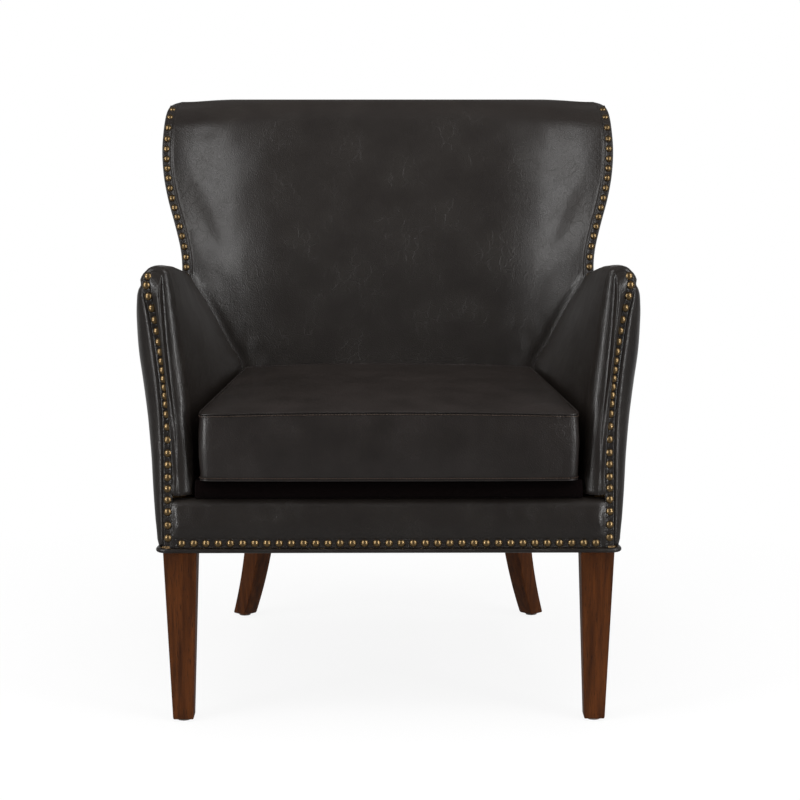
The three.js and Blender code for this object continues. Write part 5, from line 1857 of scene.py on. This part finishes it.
@dataclass(frozen=True)
class Lamp:
    """Rectangular soft box, in metres and watts."""

    name: str
    place: Place
    target: Place
    size: tuple[float, float]
    power: float
    mirrored: bool = True

    def build(self) -> None:
        """Adds the lamp, aimed at its target."""
        light = bpy.data.lights.new(self.name, "AREA")
        light.shape = "RECTANGLE"
        light.size, light.size_y = self.size
        light.energy = self.power
        box = placed(self.name, light)
        box.location = self.place
        way = Vector(self.target) - Vector(self.place)
        box.rotation_euler = way.to_track_quat("-Z", "Y").to_euler()
        box.visible_glossy = self.mirrored


@dataclass
class Studio:
    """Pale floor, soft lamps and the camera, all in metres."""

    camera_place: Place = (-0.007, -3.527, 0.952)
    pitch: float = 8.44
    yaw: float = 0.418
    lens: float = 100.0
    sensor: float = 36.0
    floor_radius: float = 1.6
    floor_hole: float = 0.02
    floor_middle: float = 0.25
    floor_share: float = 0.9
    floor_mirror: float = 0.25
    paper_grey: float = 0.86
    fade: tuple[float, float] = (0.55, 1.25)
    room_mirror: float = 0.06
    backdrop_mirror: float = 0.55
    backdrop_low: tuple[float, float] = (0.4, 0.12)
    backdrop_rear: tuple[float, float] = (0.2, 0.8)
    sky: float = 0.1
    lamps: tuple[Lamp, ...] = (
        Lamp("left_box", (-2.75, -1.95, 2.8), (0, 0, 0.7), (1.7, 1.7), 54),
        Lamp("right_box", (2.75, -1.95, 2.7), (0, 0, 0.7), (1.7, 1.7), 52),
        Lamp("left_strip", (-2.2, -2.1, 0.5), (0, 0, 0.5), (0.35, 0.9), 22),
        Lamp("right_strip", (2.2, -2.1, 0.5), (0, 0, 0.5), (0.35, 0.9), 22),
        Lamp("top_box", (0.0, -0.4, 3.4), (0, 0.1, 0.4), (3.0, 3.0), 125, mirrored=False),
    )

    def build(self) -> None:
        """Makes the floor, the lamps, the world and the camera."""
        self.floor()
        for lamp in self.lamps:
            lamp.build()
        self.world()
        self.camera()

    def floor(self) -> None:
        """Round pale floor under the chair."""
        angle = np.linspace(0, 2 * math.pi, 96, endpoint=False)
        ring = lattice(np.cos(angle), np.sin(angle), 0.0)
        radii = np.linspace(self.floor_hole, self.floor_radius, 12)
        grid = ring[None] * radii[:, None, None] + np.array([0, self.floor_middle, 0])
        whole = joined([grid_patch(grid, wrap=True), grid_patch(rungs(grid[0]))])
        mesh = bpy.data.meshes.new("studio_floor")
        mesh.from_pydata(whole.points.tolist(), [], whole.faces)
        mesh.materials.append(self.paper())
        placed("studio_floor", mesh)

    def paper(self) -> bpy.types.Material:
        """White paper that keeps the chair's shadow and turns pure white towards its rim."""
        made = bpy.data.materials.new("studio_paper")
        nodes = Nodes.of(made)
        paper = nodes.add("BsdfDiffuse", Color=(*[self.paper_grey] * 3, 1)).outputs[0]
        glow = nodes.add("Emission", Color=WHITE, Strength=1.0).outputs[0]
        path = nodes.add("LightPath")
        reach = nodes.add("VectorMath", nodes.where(), operation="LENGTH").outputs["Value"]
        far = nodes.ramp(reach, *self.fade)
        share = nodes.maths("MULTIPLY_ADD", far, 1.0 - self.floor_share, self.floor_share)
        shown = nodes.maths("MULTIPLY", nodes.seen(path), share)
        both = nodes.add("MixShader", shown, paper, glow).outputs[0]
        mirror = nodes.add("Emission", Color=WHITE, Strength=self.floor_mirror).outputs[0]
        whole = nodes.add("MixShader", path.outputs["Is Glossy Ray"], both, mirror)
        nodes.add("OutputMaterial", Surface=whole.outputs[0])
        return made

    def world(self) -> None:
        """White surroundings for the view, and a dimmer room for the light on the chair."""
        world = bpy.data.worlds.new("studio")
        nodes = Nodes.of(world)
        room = nodes.add("Background", Color=WHITE, Strength=self.sky).outputs[0]
        white = nodes.add("Background", Color=WHITE, Strength=1.0).outputs[0]
        path = nodes.add("LightPath")
        towards = nodes.add("SeparateXYZ", Vector=nodes.add("TexCoord").outputs["Generated"]).outputs
        low = nodes.ramp(towards["Z"], *self.backdrop_low)
        rear = nodes.maths("MULTIPLY", nodes.ramp(towards["Y"], *self.backdrop_rear), low)
        gain = self.backdrop_mirror - self.room_mirror
        faint = nodes.maths("MULTIPLY_ADD", rear, gain, self.room_mirror)
        glossy = nodes.maths("MULTIPLY", path.outputs["Is Glossy Ray"], faint)
        both = nodes.add("MixShader", nodes.maths("MAXIMUM", nodes.seen(path), glossy), room, white)
        nodes.add("OutputWorld", Surface=both.outputs[0])
        bpy.context.scene.world = world

    def camera(self) -> None:
        """Camera in front of the chair, a little above it."""
        lens = bpy.data.cameras.new("camera")
        lens.lens = self.lens
        lens.sensor_width = self.sensor
        eye = placed("camera", lens)
        eye.location = self.camera_place
        eye.rotation_euler = (math.radians(90 - self.pitch), 0, -math.radians(self.yaw))
        bpy.context.scene.camera = eye
        bpy.context.scene.view_settings.view_transform = "Standard"


def main() -> None:
    """Builds the chair's looks round the frame."""
    logging.basicConfig(level=logging.INFO, format="%(name)s: %(message)s")
    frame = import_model()
    Studio().build()
    shop = Workshop()
    arm, back = ArmForm(), BackForm()
    BackUpholstery(back, arm).build(shop)
    for side in Side:
        ArmUpholstery(arm, back).build(shop, side)
    SeatFront(arm, back).build(shop)
    NailTrim(arm, back).build(shop)
    SeatCushion(arm, back).build(shop)
    Legs().build(shop)
    CarriedParts().build(frame["nodes"])
    LOG.info("%d pieces made", shop.made)


if __name__ == "__main__":
    main()
